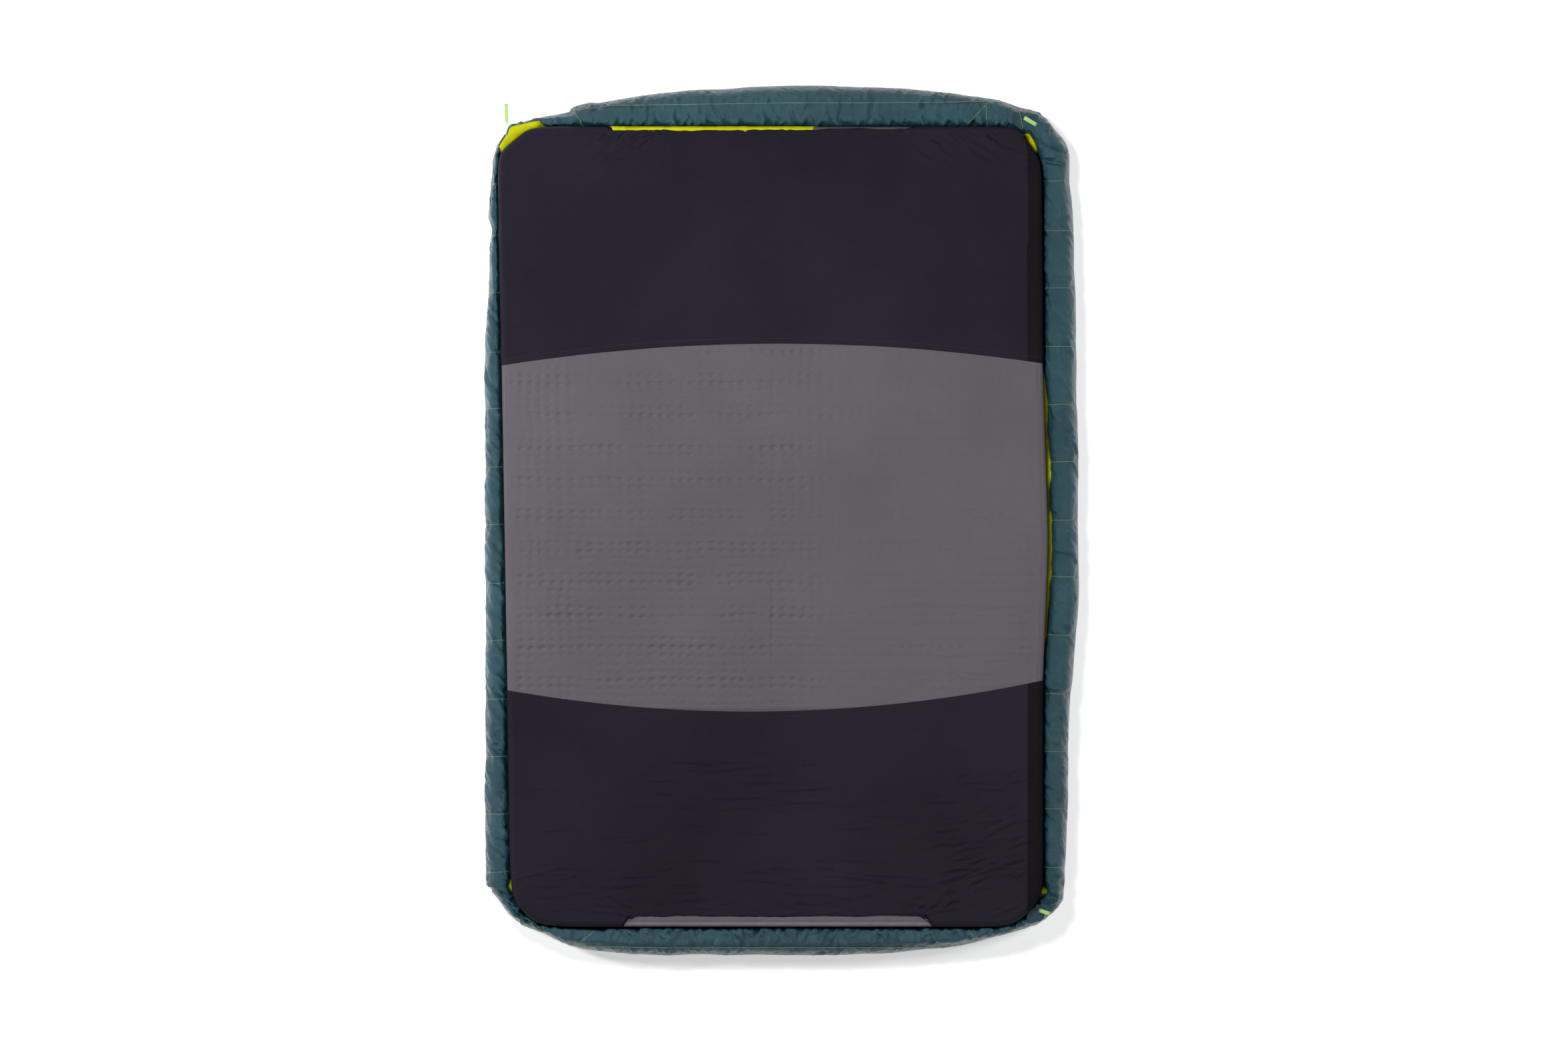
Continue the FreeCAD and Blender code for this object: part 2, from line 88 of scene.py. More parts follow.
PAD_WIDTH = 1330.0  # roughly, to space the columns of the pad's and pockets' grids
COLUMN_STEP = 3.9
CENTRE_SEAM = -23.0  # x of the seam between the pad's two halves
WELD_INSET = 11.5  # perimeter weld, in from the pad's outline
DIMPLE_PITCH = (24.6, 19.7)
DIMPLE_DEPTH = 8.5
POCKET_RISE = 1.3  # pocket fabric over the pad
POCKET_SINK = 2.6  # the pad's top lies this much lower under a pocket, clear of its folds
CASING = (13.2, 16.5)  # the hem casing ends between these distances from the hem
STITCH_LINE = 13.4
FOLD_VALLEY = 2.2  # pocket folds are held between this depth
FOLD_CREST = 5.5  # and this height
SKIRT = ((96, 0.2), (84, 0.5), (70, 0.8), (54, 0.8), (40, 0.5), (29, 0.2))  # pocket wall: level, waviness

# the rim presses the pad's corners in: place, depth, reach
PAD_PRESSED = (((-645, -980), 13, 75), ((625, -980), 9, 75), ((-670, 950), 17, 55), ((640, 945), 17, 60))
RIGHT_PRESSED = 6  # and up to this much along its right side
# the rim bulges past the CAD's outline: place, height, reach
RIM_BULGES = (((640, 990), 6.0, 34), ((695, 905), 13.0, 60), ((-645, -975), 12.0, 60))
LEFT_BULGE = 13.0  # and by this much at the head end of its left side

# ---------------- stage, in metres and watts
CAMERA_LENS = 200.0  # a long lens, because the quilt is seen almost without perspective
CAMERA_CENTRE = (0.005, -0.007)
FRAME_WIDTH = 3.857  # what the camera covers at FOCUS_LEVEL
FOCUS_LEVEL = 0.05  # mid-height of the rim
WORLD_HORIZON = 0.55
WORLD_ZENITH = 0.13
HORIZON_BAND = (0.30, 0.75)  # the sky coordinate over which the one fades to the other
FLOOR_GLOW = 0.47  # the floor is a light table
FLOOR_REACH = 30.0
FLOOR_LEVEL = -0.0006
SENSOR_WIDTH = 36.0  # mm
LAMPS = (  # name, place, power, width, height
    ("key", (-1.3, 1.7, 4.4), 145.0, 0.9, 0.9),
    ("side", (3.0, 0.3, 2.8), 60.0, 0.8, 2.6),
    ("left_strip", (-3.2, 0.2, 2.2), 85.0, 0.3, 2.4),
    ("foot_strip", (0.0, -3.2, 2.4), 16.0, 2.0, 0.2),
)


# ---------------- small tools
def node_points(name):
    data = frame["nodes"][name].data
    flat = np.empty(len(data.vertices) * 3)
    data.vertices.foreach_get("co", flat)
    return flat.reshape(-1, 3) / MM


def box(name):
    low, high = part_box(name)
    return np.array(low) / MM, np.array(high) / MM


def smooth(value, low, high):
    """0 below low, 1 above high, and an even S between them."""
    share = np.clip((np.asarray(value, float) - low) / (high - low), 0, 1)
    return share * share * (3 - 2 * share)


def window(value, low, high, fade):
    """1 between low and high, falling to 0 over fade outside them."""
    return smooth(value, low - fade, low) * (1 - smooth(value, high, high + fade))


def lattice(ix, iy, seed):
    """A repeatable number from 0 to 1 for each lattice point."""
    n = (ix.astype(np.int64) * 374761393 + iy.astype(np.int64) * 668265263 + seed * 1442695041) & 0xFFFFFFFF
    n = ((n ^ (n >> 13)) * 1274126177) & 0xFFFFFFFF
    return ((n ^ (n >> 16)) & 0xFFFF) / 65535.0


def noise(x, y, seed):
    """Smooth repeatable noise from -1 to 1."""
    x, y = np.broadcast_arrays(np.asarray(x, float), np.asarray(y, float))
    ix, iy = np.floor(x), np.floor(y)
    fx, fy = x - ix, y - iy
    fx, fy = (f * f * f * (f * (f * 6 - 15) + 10) for f in (fx, fy))
    low = lattice(ix, iy, seed) * (1 - fx) + lattice(ix + 1, iy, seed) * fx
    high = lattice(ix, iy + 1, seed) * (1 - fx) + lattice(ix + 1, iy + 1, seed) * fx
    return 2 * (low * (1 - fy) + high * fy) - 1


def cloud(x, y, seed):
    """Three octaves of noise, still from -1 to 1."""
    total, sizes = 0.0, (1.0, 0.5, 0.25)
    for octave, size in enumerate(sizes):
        total = total + noise(x * 2 ** octave, y * 2 ** octave, seed + octave) * size
    return total / sum(sizes)


def crease(x, y, seed, sharp=2.0):
    """Narrow ridges between wide shallow hollows, from 0 to 1."""
    return (1 - np.abs(noise(x, y, seed))) ** sharp


def hill(x, y, place, reach):
    """1 at a place, falling smoothly almost to 0 at twice the reach from it."""
    return np.exp(-((x - place[0]) ** 2 + (y - place[1]) ** 2) / reach ** 2)


def wall_loop(name, height):
    """The outermost outline of a CAD node's upright wall, anticlockwise."""
    points = node_points(name)
    ring = np.unique(np.round(points[np.abs(points[:, 2] - height) < 0.2][:, :2], 1), axis=0)
    ring = ring[np.argsort(np.arctan2(ring[:, 1], ring[:, 0]))]
    radius = np.hypot(ring[:, 0], ring[:, 1])
    apart = np.hypot(*(ring[:, None] - ring[None]).transpose(2, 0, 1))
    hidden = ((apart < 4) & (radius[None] > radius[:, None] + 0.3)).any(axis=1)
    return ring[~hidden]


def resample(loop, step):
    """Points about step apart round a closed outline."""
    closed = np.vstack([loop, loop[:1]])
    length = np.concatenate([[0], np.cumsum(np.hypot(*np.diff(closed, axis=0).T))])
    at = np.linspace(0, length[-1], int(round(length[-1] / step)), endpoint=False)
    return np.column_stack([np.interp(at, length, closed[:, k]) for k in (0, 1)])


def soften(values, reach):
    """Values round a closed outline, smoothed over reach samples."""
    wave = np.fft.fftfreq(len(values))
    keep = np.exp(-2 * (np.pi * wave * reach) ** 2)
    return np.real(np.fft.ifft(np.fft.fft(values, axis=0) * keep.reshape(-1, *[1] * (values.ndim - 1)), axis=0))


def outward(line):
    """Unit normals of an anticlockwise closed outline."""
    ahead = np.roll(line, -1, axis=0) - np.roll(line, 1, axis=0)
    side = np.column_stack([ahead[:, 1], -ahead[:, 0]])
    return side / np.hypot(*side.T)[:, None]


def segment_distance(x, y, start, end):
    sx, sy = end[0] - start[0], end[1] - start[1]
    share = np.clip(((x - start[0]) * sx + (y - start[1]) * sy) / (sx * sx + sy * sy), 0, 1)
    return np.hypot(x - start[0] - share * sx, y - start[1] - share * sy)


def edge_distance(x, y, line):
    """How far inside a closed outline each point is, looked for only near the outline."""
    coarse = line[::3]
    found = np.full(x.shape, 60.0)
    for start, end in zip(coarse, np.roll(coarse, -1, axis=0)):
        middle = (start + end) / 2
        near = (np.abs(x - middle[0]) < 70) & (np.abs(y - middle[1]) < 70)
        if near.any():
            found[near] = np.minimum(found[near], segment_distance(x[near], y[near], start, end))
    return found


def side_limits(line):
    """Functions for the left and right x of an outline at a height y."""
    middle = line[:, 0].mean()
    found = []
    for sign in (-1, 1):
        chain = line[(line[:, 0] - middle) * sign > 0]
        best = {}
        for x, y in chain:
            key = round(float(y), 1)
            best[key] = x if key not in best else (max, min)[sign < 0](best[key], x)
        ys = np.array(sorted(best))
        xs = np.array([best[k] for k in ys])
        found.append((ys, xs))
    return [lambda y, ys=ys, xs=xs: np.interp(y, ys, xs) for ys, xs in found]


def make_object(name, points, faces, materials, shares=None):
    """A smooth mesh that rides on the quilt's body; shares gives the number of each face's material."""
    mesh = bpy.data.meshes.new(name)
    mesh.from_pydata((points * MM).tolist(), [], faces)
    mesh.validate()
    for material in materials:
        mesh.materials.append(material)
    mesh.polygons.foreach_set("use_smooth", [True] * len(mesh.polygons))
    if shares is not None:
        mesh.polygons.foreach_set("material_index", list(shares))
    mesh.update()
    piece = bpy.data.objects.new(name, mesh)
    bpy.context.scene.collection.objects.link(piece)
    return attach(piece, "quilt")


def grid_faces(rows, columns, wrap=False, flip=False):
    """Quads between the points of a grid; wrap joins its last column to its first."""
    number = np.arange(rows * columns).reshape(rows, columns)
    across = np.roll(number, -1, axis=1) if wrap else number[:, 1:]
    here = number if wrap else number[:, :-1]
    quads = np.stack([here[:-1], across[:-1], across[1:], here[1:]], axis=-1).reshape(-1, 4)
    return quads[:, ::-1] if flip else quads


def grid_normals(grid, wrap=False):
    """Unit normals of a grid of points; they point along (next row) x (next column)."""
    down = np.gradient(grid, axis=0)
    along = (np.roll(grid, -1, 1) - np.roll(grid, 1, 1)) / 2 if wrap else np.gradient(grid, axis=1)
    normal = np.cross(down, along)
    return normal / np.maximum(np.linalg.norm(normal, axis=2, keepdims=True), 1e-9)


def folds(x, y, seed, count, area, angle, length, width, height):
    """Tapered folds scattered over area = (x low, x high, y low, y high); angle in degrees."""
    draw = np.random.default_rng(seed)
    total = np.zeros_like(x)
    for _ in range(count):
        cx, cy = draw.uniform(*area[:2]), draw.uniform(*area[2:])
        turn = math.radians(draw.uniform(*angle))
        long, wide, high = draw.uniform(*length), draw.uniform(*width), draw.uniform(*height)
        bend = draw.uniform(-0.0006, 0.0006)
        dx, dy = x - cx, y - cy
        along = dx * math.cos(turn) + dy * math.sin(turn)
        near = np.abs(along) < long / 2
        if not near.any():
            continue
        part = along[near]
        across = -dx[near] * math.sin(turn) + dy[near] * math.cos(turn) + bend * part ** 2
        taper = np.cos(np.pi * part / long) ** 2
        wide = wide * (0.55 + 0.45 * taper)
        crest, hollow = np.exp(-(across / wide) ** 2), np.exp(-((across - 1.7 * wide) / wide) ** 2)
        total[near] += high * taper * (crest - 0.7 * hollow)
    return total


# ---------------- materials
def new_material(name, colour, roughness, **sockets):
    material = bpy.data.materials.new(name)
    material.use_nodes = True
    shader = material.node_tree.nodes["Principled BSDF"]
    shader.inputs["Base Color"].default_value = (*colour, 1)
    shader.inputs["Roughness"].default_value = roughness
    for socket, value in sockets.items():
        shader.inputs[socket.replace("_", " ")].default_value = value
    return material, material.node_tree, shader


def add(tree, kind, **values):
    node = tree.nodes.new(kind)
    for key, value in values.items():
        if key in node.inputs:
            node.inputs[key].default_value = value
        else:
            setattr(node, key, value)
    return node


def scaled(tree, size):
    """Object coordinates stretched by size along each axis."""
    place = add(tree, "ShaderNodeTexCoord")
    mapping = add(tree, "ShaderNodeMapping")
    mapping.inputs["Scale"].default_value = size
    tree.links.new(place.outputs["Object"], mapping.inputs["Vector"])
    return mapping.outputs["Vector"]


def tint(tree, shader, scale, dark, light, roughness):
    """Colour that wanders between dark and light, and roughness with it."""
    pattern = add(tree, "ShaderNodeTexNoise", Scale=scale, Detail=5.0)
    tree.links.new(scaled(tree, (1, 1, 1)), pattern.inputs["Vector"])
    ramp = add(tree, "ShaderNodeValToRGB")
    for end, position, colour in zip(ramp.color_ramp.elements, (0.35, 0.65), (dark, light)):
        end.position, end.color = position, (*colour, 1)
    tree.links.new(pattern.outputs["Fac"], ramp.inputs["Fac"])
    tree.links.new(ramp.outputs["Color"], shader.inputs["Base Color"])
    span = add(tree, "ShaderNodeMapRange")
    span.inputs["To Min"].default_value, span.inputs["To Max"].default_value = roughness
    tree.links.new(pattern.outputs["Fac"], span.inputs["Value"])
    tree.links.new(span.outputs["Result"], shader.inputs["Roughness"])


def bumps(tree, shader, layers):
    """A chain of bump nodes; layers are (texture output, height in metres)."""
    previous = None
    for output, height in layers:
        bump = add(tree, "ShaderNodeBump", Distance=height, Strength=1.0)
        tree.links.new(output, bump.inputs["Height"])
        if previous:
            tree.links.new(previous.outputs["Normal"], bump.inputs["Normal"])
        previous = bump
    tree.links.new(previous.outputs["Normal"], shader.inputs["Normal"])


def weave(tree, pitch):
    """Height pattern of a plain weave in the floor plane; pitch is its thread pitch in metres."""
    heights = []
    for direction in ("X", "Y"):
        wave = add(tree, "ShaderNodeTexWave", bands_direction=direction, Scale=0.5 / pitch)
        tree.links.new(scaled(tree, (1, 1, 1)), wave.inputs["Vector"])
        heights.append(wave.outputs["Fac"])
    mix = add(tree, "ShaderNodeMath", operation="ADD")
    tree.links.new(heights[0], mix.inputs[0])
    tree.links.new(heights[1], mix.inputs[1])
    return mix.outputs[0]


def crinkle(tree, scale, detail=4.0, size=(1, 1, 1), distortion=0.0):
    """Noise for a bump, stretched by size along each axis."""
    pattern = add(tree, "ShaderNodeTexNoise", Scale=scale, Detail=detail, Distortion=distortion)
    tree.links.new(scaled(tree, size), pattern.inputs["Vector"])
    return pattern.outputs["Fac"]


def fabric(name, dark, light, roughness, pitch, crinkles, wander=6.0, **sockets):
    """A woven material; crinkles are (crinkle's arguments, height in metres)."""
    material, tree, shader = new_material(name, light, roughness[1], **sockets)
    tint(tree, shader, wander, dark, light, roughness)
    layers = [(crinkle(tree, *pattern), height) for pattern, height in crinkles]
    layers.append((weave(tree, pitch), pitch * 0.12))
    bumps(tree, shader, layers)
    return material


TEAL = fabric(
    "shell_taffeta", (0.010, 0.046, 0.062), (0.016, 0.064, 0.084), (0.22, 0.32), 0.0008,
    [((75.0, 5.0, (1, 1, 1), 0.6), 0.0022), ((210.0, 4.0), 0.0006)], Specular_IOR_Level=0.5,
    Specular_Tint=(0.80, 0.93, 1.0, 1.0),
)
LIME = fabric(
    "lining_taffeta", (0.52, 0.54, 0.0008), (0.70, 0.72, 0.0015), (0.5, 0.65), 0.0008,
    [((70.0, 4.0), 0.0030)], Specular_IOR_Level=0.12,
)
NYLON = fabric(
    "pocket_nylon", (0.0150, 0.0122, 0.0205), (0.0205, 0.0172, 0.0275), (0.29, 0.37), 0.0007,
    [((40.0, 5.0, (0.35, 1, 1), 0.4), 0.0010), ((170.0, 3.0), 0.00025)], wander=2.2, Specular_IOR_Level=0.042,
)
# a darker copy of the pocket nylon: painted shade for the pockets' right-hand side, which faces away from the
# light
SHADED_NYLON_RIGHT = fabric(
    "gusset_nylon", (0.0075, 0.0064, 0.0092), (0.0100, 0.0085, 0.0122), (0.45, 0.55), 0.0007,
    [((60.0, 4.0, (1, 0.5, 1)), 0.0012)], Specular_IOR_Level=0.04,
)
PAD = fabric(
    "pad_fabric", (0.104, 0.092, 0.108), (0.118, 0.104, 0.122), (0.42, 0.52), 0.0006,
    [((45.0, 4.0), 0.00045), ((300.0, 3.0), 0.00012)], wander=3.0, Specular_IOR_Level=0.16,
)
# a lighter grey for a band along the pad's foot edge
PAD_EDGE = fabric(
    "pad_foot_edge_lighter", (0.175, 0.155, 0.175), (0.205, 0.182, 0.205), (0.42, 0.52), 0.0006,
    [((45.0, 4.0), 0.00045)], wander=3.0, Specular_IOR_Level=0.2,
)
THREAD = fabric(
    "thread", (0.26, 0.37, 0.12), (0.36, 0.48, 0.18), (0.6, 0.75), 0.0004, [((900.0, 2.0), 0.0001)],
)
DARK_THREAD = fabric(
    "dark_thread", (0.02, 0.018, 0.026), (0.035, 0.032, 0.042), (0.6, 0.75), 0.0004, [((900.0, 2.0), 0.0001)],
)
TAPE = fabric(
    "loop_tape", (0.42, 0.66, 0.20), (0.52, 0.76, 0.28), (0.7, 0.85), 0.0011, [((260.0, 3.0), 0.0003)],
)
PLASTIC = fabric(
    "valve_plastic", (0.04, 0.04, 0.045), (0.055, 0.055, 0.06), (0.42, 0.5), 0.0005, [((500.0, 3.0), 0.00005)],
)
RUBBER = fabric(
    "valve_rubber", (0.025, 0.025, 0.025), (0.035, 0.035, 0.035), (0.6, 0.7), 0.0005, [((400.0, 3.0), 0.00005)],
)

# ---------------- outlines and levels from the frame
rim_line = wall_loop("outer_shell", 66.0)
hinges = {j["name"]: np.array(j["pos_m"]) / MM for j in frame["joints"]}
hidden_loop = hinges["loop_foot_left_flop"]
rim_left = box("outer_shell")[0][0]
# the CAD's rim has a notch for the hidden loop, which the tube bulges over here
in_notch = (rim_line[:, 0] < -690) & (np.abs(rim_line[:, 1] - hidden_loop[1]) < 40)
first = np.argmax(in_notch)
rim_line = np.vstack([rim_line[~in_notch][:first], [[rim_left, hidden_loop[1] - 1]], rim_line[~in_notch][first:]])
rim_line = soften(resample(rim_line, RIM_STEP), 2.2)
pad_line = soften(resample(wall_loop("pad_side_wall", 36.0), 2.0), 1.5)
pad_x, pad_y = pad_line.T
pressed = sum(depth * hill(pad_x, pad_y, place, reach) for place, depth, reach in PAD_PRESSED)
pressed += RIGHT_PRESSED * (pad_x > 600) * (0.5 + 0.5 * smooth(pad_y, 500, 850)) * smooth(pad_y, -940, -850)
pad_line = pad_line - outward(pad_line) * pressed[:, None]
pad_top = box("pad_side_wall")[1][2]
pad_low = box("pad_side_wall")[0][2]
pad_head, pad_foot = box("pad_side_wall")[1][1], box("pad_side_wall")[0][1]
# heights of the quilting rows, read off the stitches at the sides
rows = node_points("quilting_stitches")
rows = rows[np.abs(rows[:, 0]) > 640][:, 1]
rows = np.array(sorted({round(float(v) / 5) * 5 for v in rows if abs(v) < 900}))
row_groups = np.split(rows, np.flatnonzero(np.diff(rows) > 20) + 1)
ROWS = np.array([g.mean() for g in row_groups])[::-1]


# ---------------- quilt rim and underside
qx, qy = rim_line.T
nudge = (
    -4.0 * window(qx, -800, -524, 4) * (qy > 950) + 5.0 * window(qx, -513, -470, 18) * (qy > 950)
    + sum(height * hill(qx, qy, place, reach) for place, height, reach in RIM_BULGES)
    + LEFT_BULGE * window(qy, 750, 912, 42) * (qx < -600)
    + 1.6 * noise(np.arange(len(qx)) / 26, 0 * qx, 12)
)
rim_line = rim_line + outward(rim_line) * nudge[:, None]
nearest = ((rim_line[:, None] - pad_line[None]) ** 2).sum(axis=2).argmin(axis=1)
inner_line = soften(pad_line[nearest], 3.0)
reach = rim_line - inner_line
gap_width = np.hypot(*reach.T)
away = reach / gap_width[:, None]
qx, qy = rim_line.T
on_left = (qx < -600) & (np.abs(qy) < 915)
on_right = (qx > 600) & (np.abs(qy) < 945)
on_head, on_foot = qy > 935, qy < -925
along_rim = np.arange(len(rim_line)) * RIM_STEP

# share of the lining that shows in the crevice, from 0 to 1
lime_shown = (
    0.90 * window(qy, -300, 350, 90) * (qx > 600) * (0.88 + 0.16 * noise(qy / 60, 0 * qy, 5))
    + 1.0 * window(qy, 912, 1000, 10) * (qx < -590) + 0.85 * hill(qx, qy, (672, 955), 45)
    + 0.95 * hill(qx, qy, (700, -925), 34) + 0.95 * hill(qx, qy, (-715, -905), 24)
)
lime_shown = np.clip(soften(lime_shown, 3), 0, 1)
# at the head corners the tube is pulled away from the pad
corner_pull = soften(window(qy, 918, 1000, 14) * (qx < -590), 4) + 0.26 * soften(hill(qx, qy, (655, 965), 34), 2)
tube_start = 0.6 + corner_pull * np.maximum(gap_width - 15, 0)
# and it stands a few millimetres off the pad where slivers of lining show
stand_off = (
    8.0 * window(qy, -230, 280, 120) * (qx > 600) * (0.85 + 0.2 * noise(qy / 60, 0 * qy, 5))
    + 15.0 * hill(qx, qy, (700, -925), 32) + 9.0 * hill(qx, qy, (-715, -905), 22)
)
tube_start = tube_start + soften(stand_off, 3)
tube_width = gap_width - tube_start
puff = noise(along_rim / 60, 0 * along_rim, 11)
tube_top = RIM_TOP + 2.0 * puff - 10 * corner_pull - 15 * (on_head & (qx < -521)) - 6 * ((qx < -600) & (qy > 600))
tube_top = soften(tube_top, 1.6)

# the section runs from the crevice over the top and down to the floor
turn = np.radians(np.linspace(180, -82, TUBE_ROWS))
power = np.where(turn > np.pi / 2, RIM_INNER_POWER, RIM_POWER)
swing = np.sign(np.cos(turn)) * np.abs(np.cos(turn)) ** (2 / power)
lift = np.sign(np.sin(turn)) * np.abs(np.sin(turn)) ** (2 / power)
half = tube_width / 2
out_by = tube_start[None] + half[None] * (1 + swing[:, None])
height = np.where(lift[:, None] > 0, RIM_MIDDLE + (tube_top[None] - RIM_MIDDLE) * lift[:, None],
                  RIM_MIDDLE + (RIM_MIDDLE - 1.0) * lift[:, None])
tube = np.empty((TUBE_ROWS, len(rim_line), 3))
tube[..., :2] = inner_line + away * out_by[..., None]
tube[..., 2] = height
across_rim = np.concatenate([
    np.zeros((1, len(rim_line))), np.cumsum(np.linalg.norm(np.diff(tube, axis=0), axis=2), axis=0)
])


def rim_normals(grid):
    """Normals of the tube that point out of it."""
    normal = grid_normals(grid, wrap=True)
    return normal if normal[TUBE_ROWS // 2, on_right, 0].mean() >= 0 else -normal


def head_seam(x):
    """y of the seam along the head tube."""
    return np.interp(x, [-512, -420, 0, 400, 512], [1004, 1017, 1023, 1025, 1028])


def foot_seam(x):
    """y of the seam along the foot tube."""
    return np.interp(x, [-507, -300, 100, 350, 490], [-1047, -1051, -1051, -1051, -1047])


SEAMS = []  # (start, end, depth share) in the floor plane
for y in ROWS:
    top = y > 800
    SEAMS.append(((-630, y + LEFT_ROW_SHIFT - 16 * top), (-790, y + LEFT_ROW_SHIFT - 16 * top + 2), 1.0))
    SEAMS.append(((630, y - 20 * top), (790, y - 20 * top), 1.0))
for xs, seam in ((np.linspace(-510, 510, 13), head_seam), (np.linspace(-506, 489, 13), foot_seam)):
    SEAMS += [((a, float(seam(a))), (b, float(seam(b))), 0.8) for a, b in zip(xs[:-1], xs[1:])]
HEAD_ENDS = [
    ((-512, 1004), (-488, 966)), ((-512, 1004), (-533, 998)), ((510, 1028), (452, 968)), ((500, 1015), (504, 965)),
    ((581, 1018), (592, 958)), ((510, 1028), (516, 1060)), ((-512, 1004), (-516, 1040)),
]
FOOT_ENDS = [
    ((-507, -1047), (-450, -1001)), ((-502, -1050), (-502, -1080)), ((490, -1047), (449, -996)),
    ((493, -1047), (494, -1080)), ((-585, -1000), (-588, -1040)), ((567, -985), (570, -1040)),
]
SEAMS += [(a, b, 0.7) for a, b in HEAD_ENDS + FOOT_ENDS]
FOLDS = [  # hard folds at the corners, where one side's tube is tucked under the next
    ((-760, -898), (-707, -913)), ((-707, -913), (-677, -922)), ((-677, -922), (-652, -938)),
    ((634, -952), (740, -938)), ((-519, 1018), (-519, 980)), ((624, 973), (655, 1008)), ((640, 928), (700, 902)),
    ((648, 880), (690, 872)), ((-690, -930), (-660, -962)), ((-668, -945), (-640, -985)),
    ((-640, -962), (-612, -1006)), ((600, -992), (616, -1010)), ((640, -966), (668, -985)),
]

px, py = tube[..., 0], tube[..., 1]
dent = np.zeros(px.shape)
for start, end, share in SEAMS:
    near = segment_distance(px, py, start, end)
    dent = np.maximum(dent, share * np.exp(-near / SEAM_REACH))
fold = np.zeros(px.shape)
for start, end in FOLDS:
    fold = np.maximum(fold, np.exp(-(segment_distance(px, py, start, end) / FOLD_REACH) ** 2))
upper = smooth(np.sin(turn), -0.6, 0.5)[:, None]
depth = SEAM_DEPTH * (0.45 + 0.55 * upper) * dent + FOLD_DEPTH * fold * upper

# wrinkles, from distances along the rim (s) and across it (t): diagonal on the sides, slanted on the ends
s, t = along_rim[None] + 0 * px, across_rim
side = soften((on_left | on_right).astype(float), 6)[None]
left = soften(on_left.astype(float), 6)[None]
foot = soften(on_foot.astype(float), 6)[None]
bent = 13 * cloud(s / 75, t / 55, 31)
diagonal = crease((s + 0.85 * t + bent) / 33, (s - t + bent) / 105, 41, 2.6)
fine_diagonal = crease((s + 0.7 * t + 1.8 * bent) / 11, (s - t) / 38, 45, 1.8)
pleat = crease((s + bent) / 40, (t + 0.3 * s) / 115, 47, 2.8)
fine_pleat = crease((s + 0.3 * t + 1.7 * bent) / 12, t / 34, 53, 1.8)
lumps = cloud(s / 42, t / 38, 61)
busy = 0.62 + 0.5 * cloud(s / 95, t / 70, 71)
wrinkle = side * ((1.2 + 0.6 * left) * diagonal + (0.3 + 0.4 * left) * fine_diagonal)
wrinkle = wrinkle + (1 - side) * (1.6 * pleat + (0.5 + 0.3 * foot) * fine_pleat)


def spans_of(flag):
    """The stretches of the rim, as (from, to) distances along it, where a flag holds."""
    ends = np.flatnonzero(np.diff(np.concatenate([[0], flag.astype(int), [0]])))
    return [(a * RIM_STEP, b * RIM_STEP) for a, b in ends.reshape(-1, 2) if b - a > 20]


FOLD_LAYERS = (  # flag, seed, spacing, across from and to, angle, length, width, height
    (on_left, 301, 17, (10, 140), (108, 150), (60, 140), (4.5, 7.5), (2.2, 4.6)),
    (on_left, 302, 8, (8, 150), (95, 165), (25, 75), (2.8, 4.4), (0.9, 2.2)),
    (on_head, 305, 19, (22, 52), (62, 122), (55, 100), (4.0, 6.5), (2.6, 5.0)),
    (on_head, 306, 10, (12, 66), (50, 130), (30, 70), (2.8, 4.2), (1.2, 2.6)),
    (on_head, 307, 19, (84, 150), (55, 125), (45, 95), (3.8, 6.0), (1.2, 3.0)),
    (on_head, 308, 11, (78, 150), (40, 140), (25, 60), (2.8, 4.0), (0.6, 1.6)),
    (on_foot, 309, 18, (20, 60), (55, 130), (50, 110), (4.0, 6.5), (2.6, 5.2)),
    (on_foot, 310, 8, (10, 80), (40, 150), (28, 75), (2.8, 4.2), (1.4, 3.0)),
    (on_foot, 311, 11, (80, 140), (50, 140), (30, 80), (3.0, 5.0), (0.8, 2.4)),
    (on_right, 321, 18, (10, 130), (95, 160), (50, 120), (4.5, 7.5), (1.4, 3.4)),
    (on_right, 331, 9, (8, 130), (90, 165), (22, 60), (2.8, 4.2), (0.5, 1.5)),
)
for flag, seed, spacing, reach_across, angle, length, width, tall in FOLD_LAYERS:
    for number, (low_end, high_end) in enumerate(spans_of(flag)):
        wrinkle = wrinkle + folds(
            s, t, seed + 40 * number, int((high_end - low_end) / spacing), (low_end, high_end, *reach_across),
            angle, length, (FOLD_WIDENING * width[0], FOLD_WIDENING * width[1]), tall,
        )
pucker = side * noise(t / 7.5, s / 45, 73) + (1 - side) * noise(s / 8, t / 45, 74)
wrinkle = WRINKLE_LIMIT * np.tanh(WRINKLE_GAIN * wrinkle * busy / WRINKLE_LIMIT)
wrinkle = wrinkle + 2.0 * lumps + 1.4 * pucker * np.clip(dent, 0, 0.8)
# they die out in the crevice and towards the floor
fade = smooth(np.arange(TUBE_ROWS)[:, None], 1, 9 + 7 * (lime_shown * (qx > 600))[None])
fade = fade * (0.22 + 0.78 * smooth(np.sin(turn), -0.1, 0.55)[:, None])
tube = tube + rim_normals(tube) * ((wrinkle - 3.9 - depth) * fade + 0.8)[..., None]

# the overhang which hides the foot-left loop leaves it room to swing
low_wall = (tube[..., 2] < 63) & (np.abs(tube[..., 1] - hidden_loop[1]) < 12) & (tube[..., 0] < -650)
tube[..., 0] = np.where(low_wall, np.maximum(tube[..., 0], hidden_loop[0] + 2.5), tube[..., 0])
tube[..., 2] = np.maximum(tube[..., 2], 0.4)
# the rim is pressed down under the two loops that lie on it
for name in ("loop_head_right", "loop_foot_right"):
    loop_low, loop_high = box(name)
    apart = np.hypot(*(
        np.maximum(np.maximum(loop_low[k] - tube[..., k], tube[..., k] - loop_high[k]), 0) for k in (0, 1)
    ))
    tube[..., 2] = np.minimum(tube[..., 2], loop_low[2] - 1.5 + 0.012 * apart ** 2)

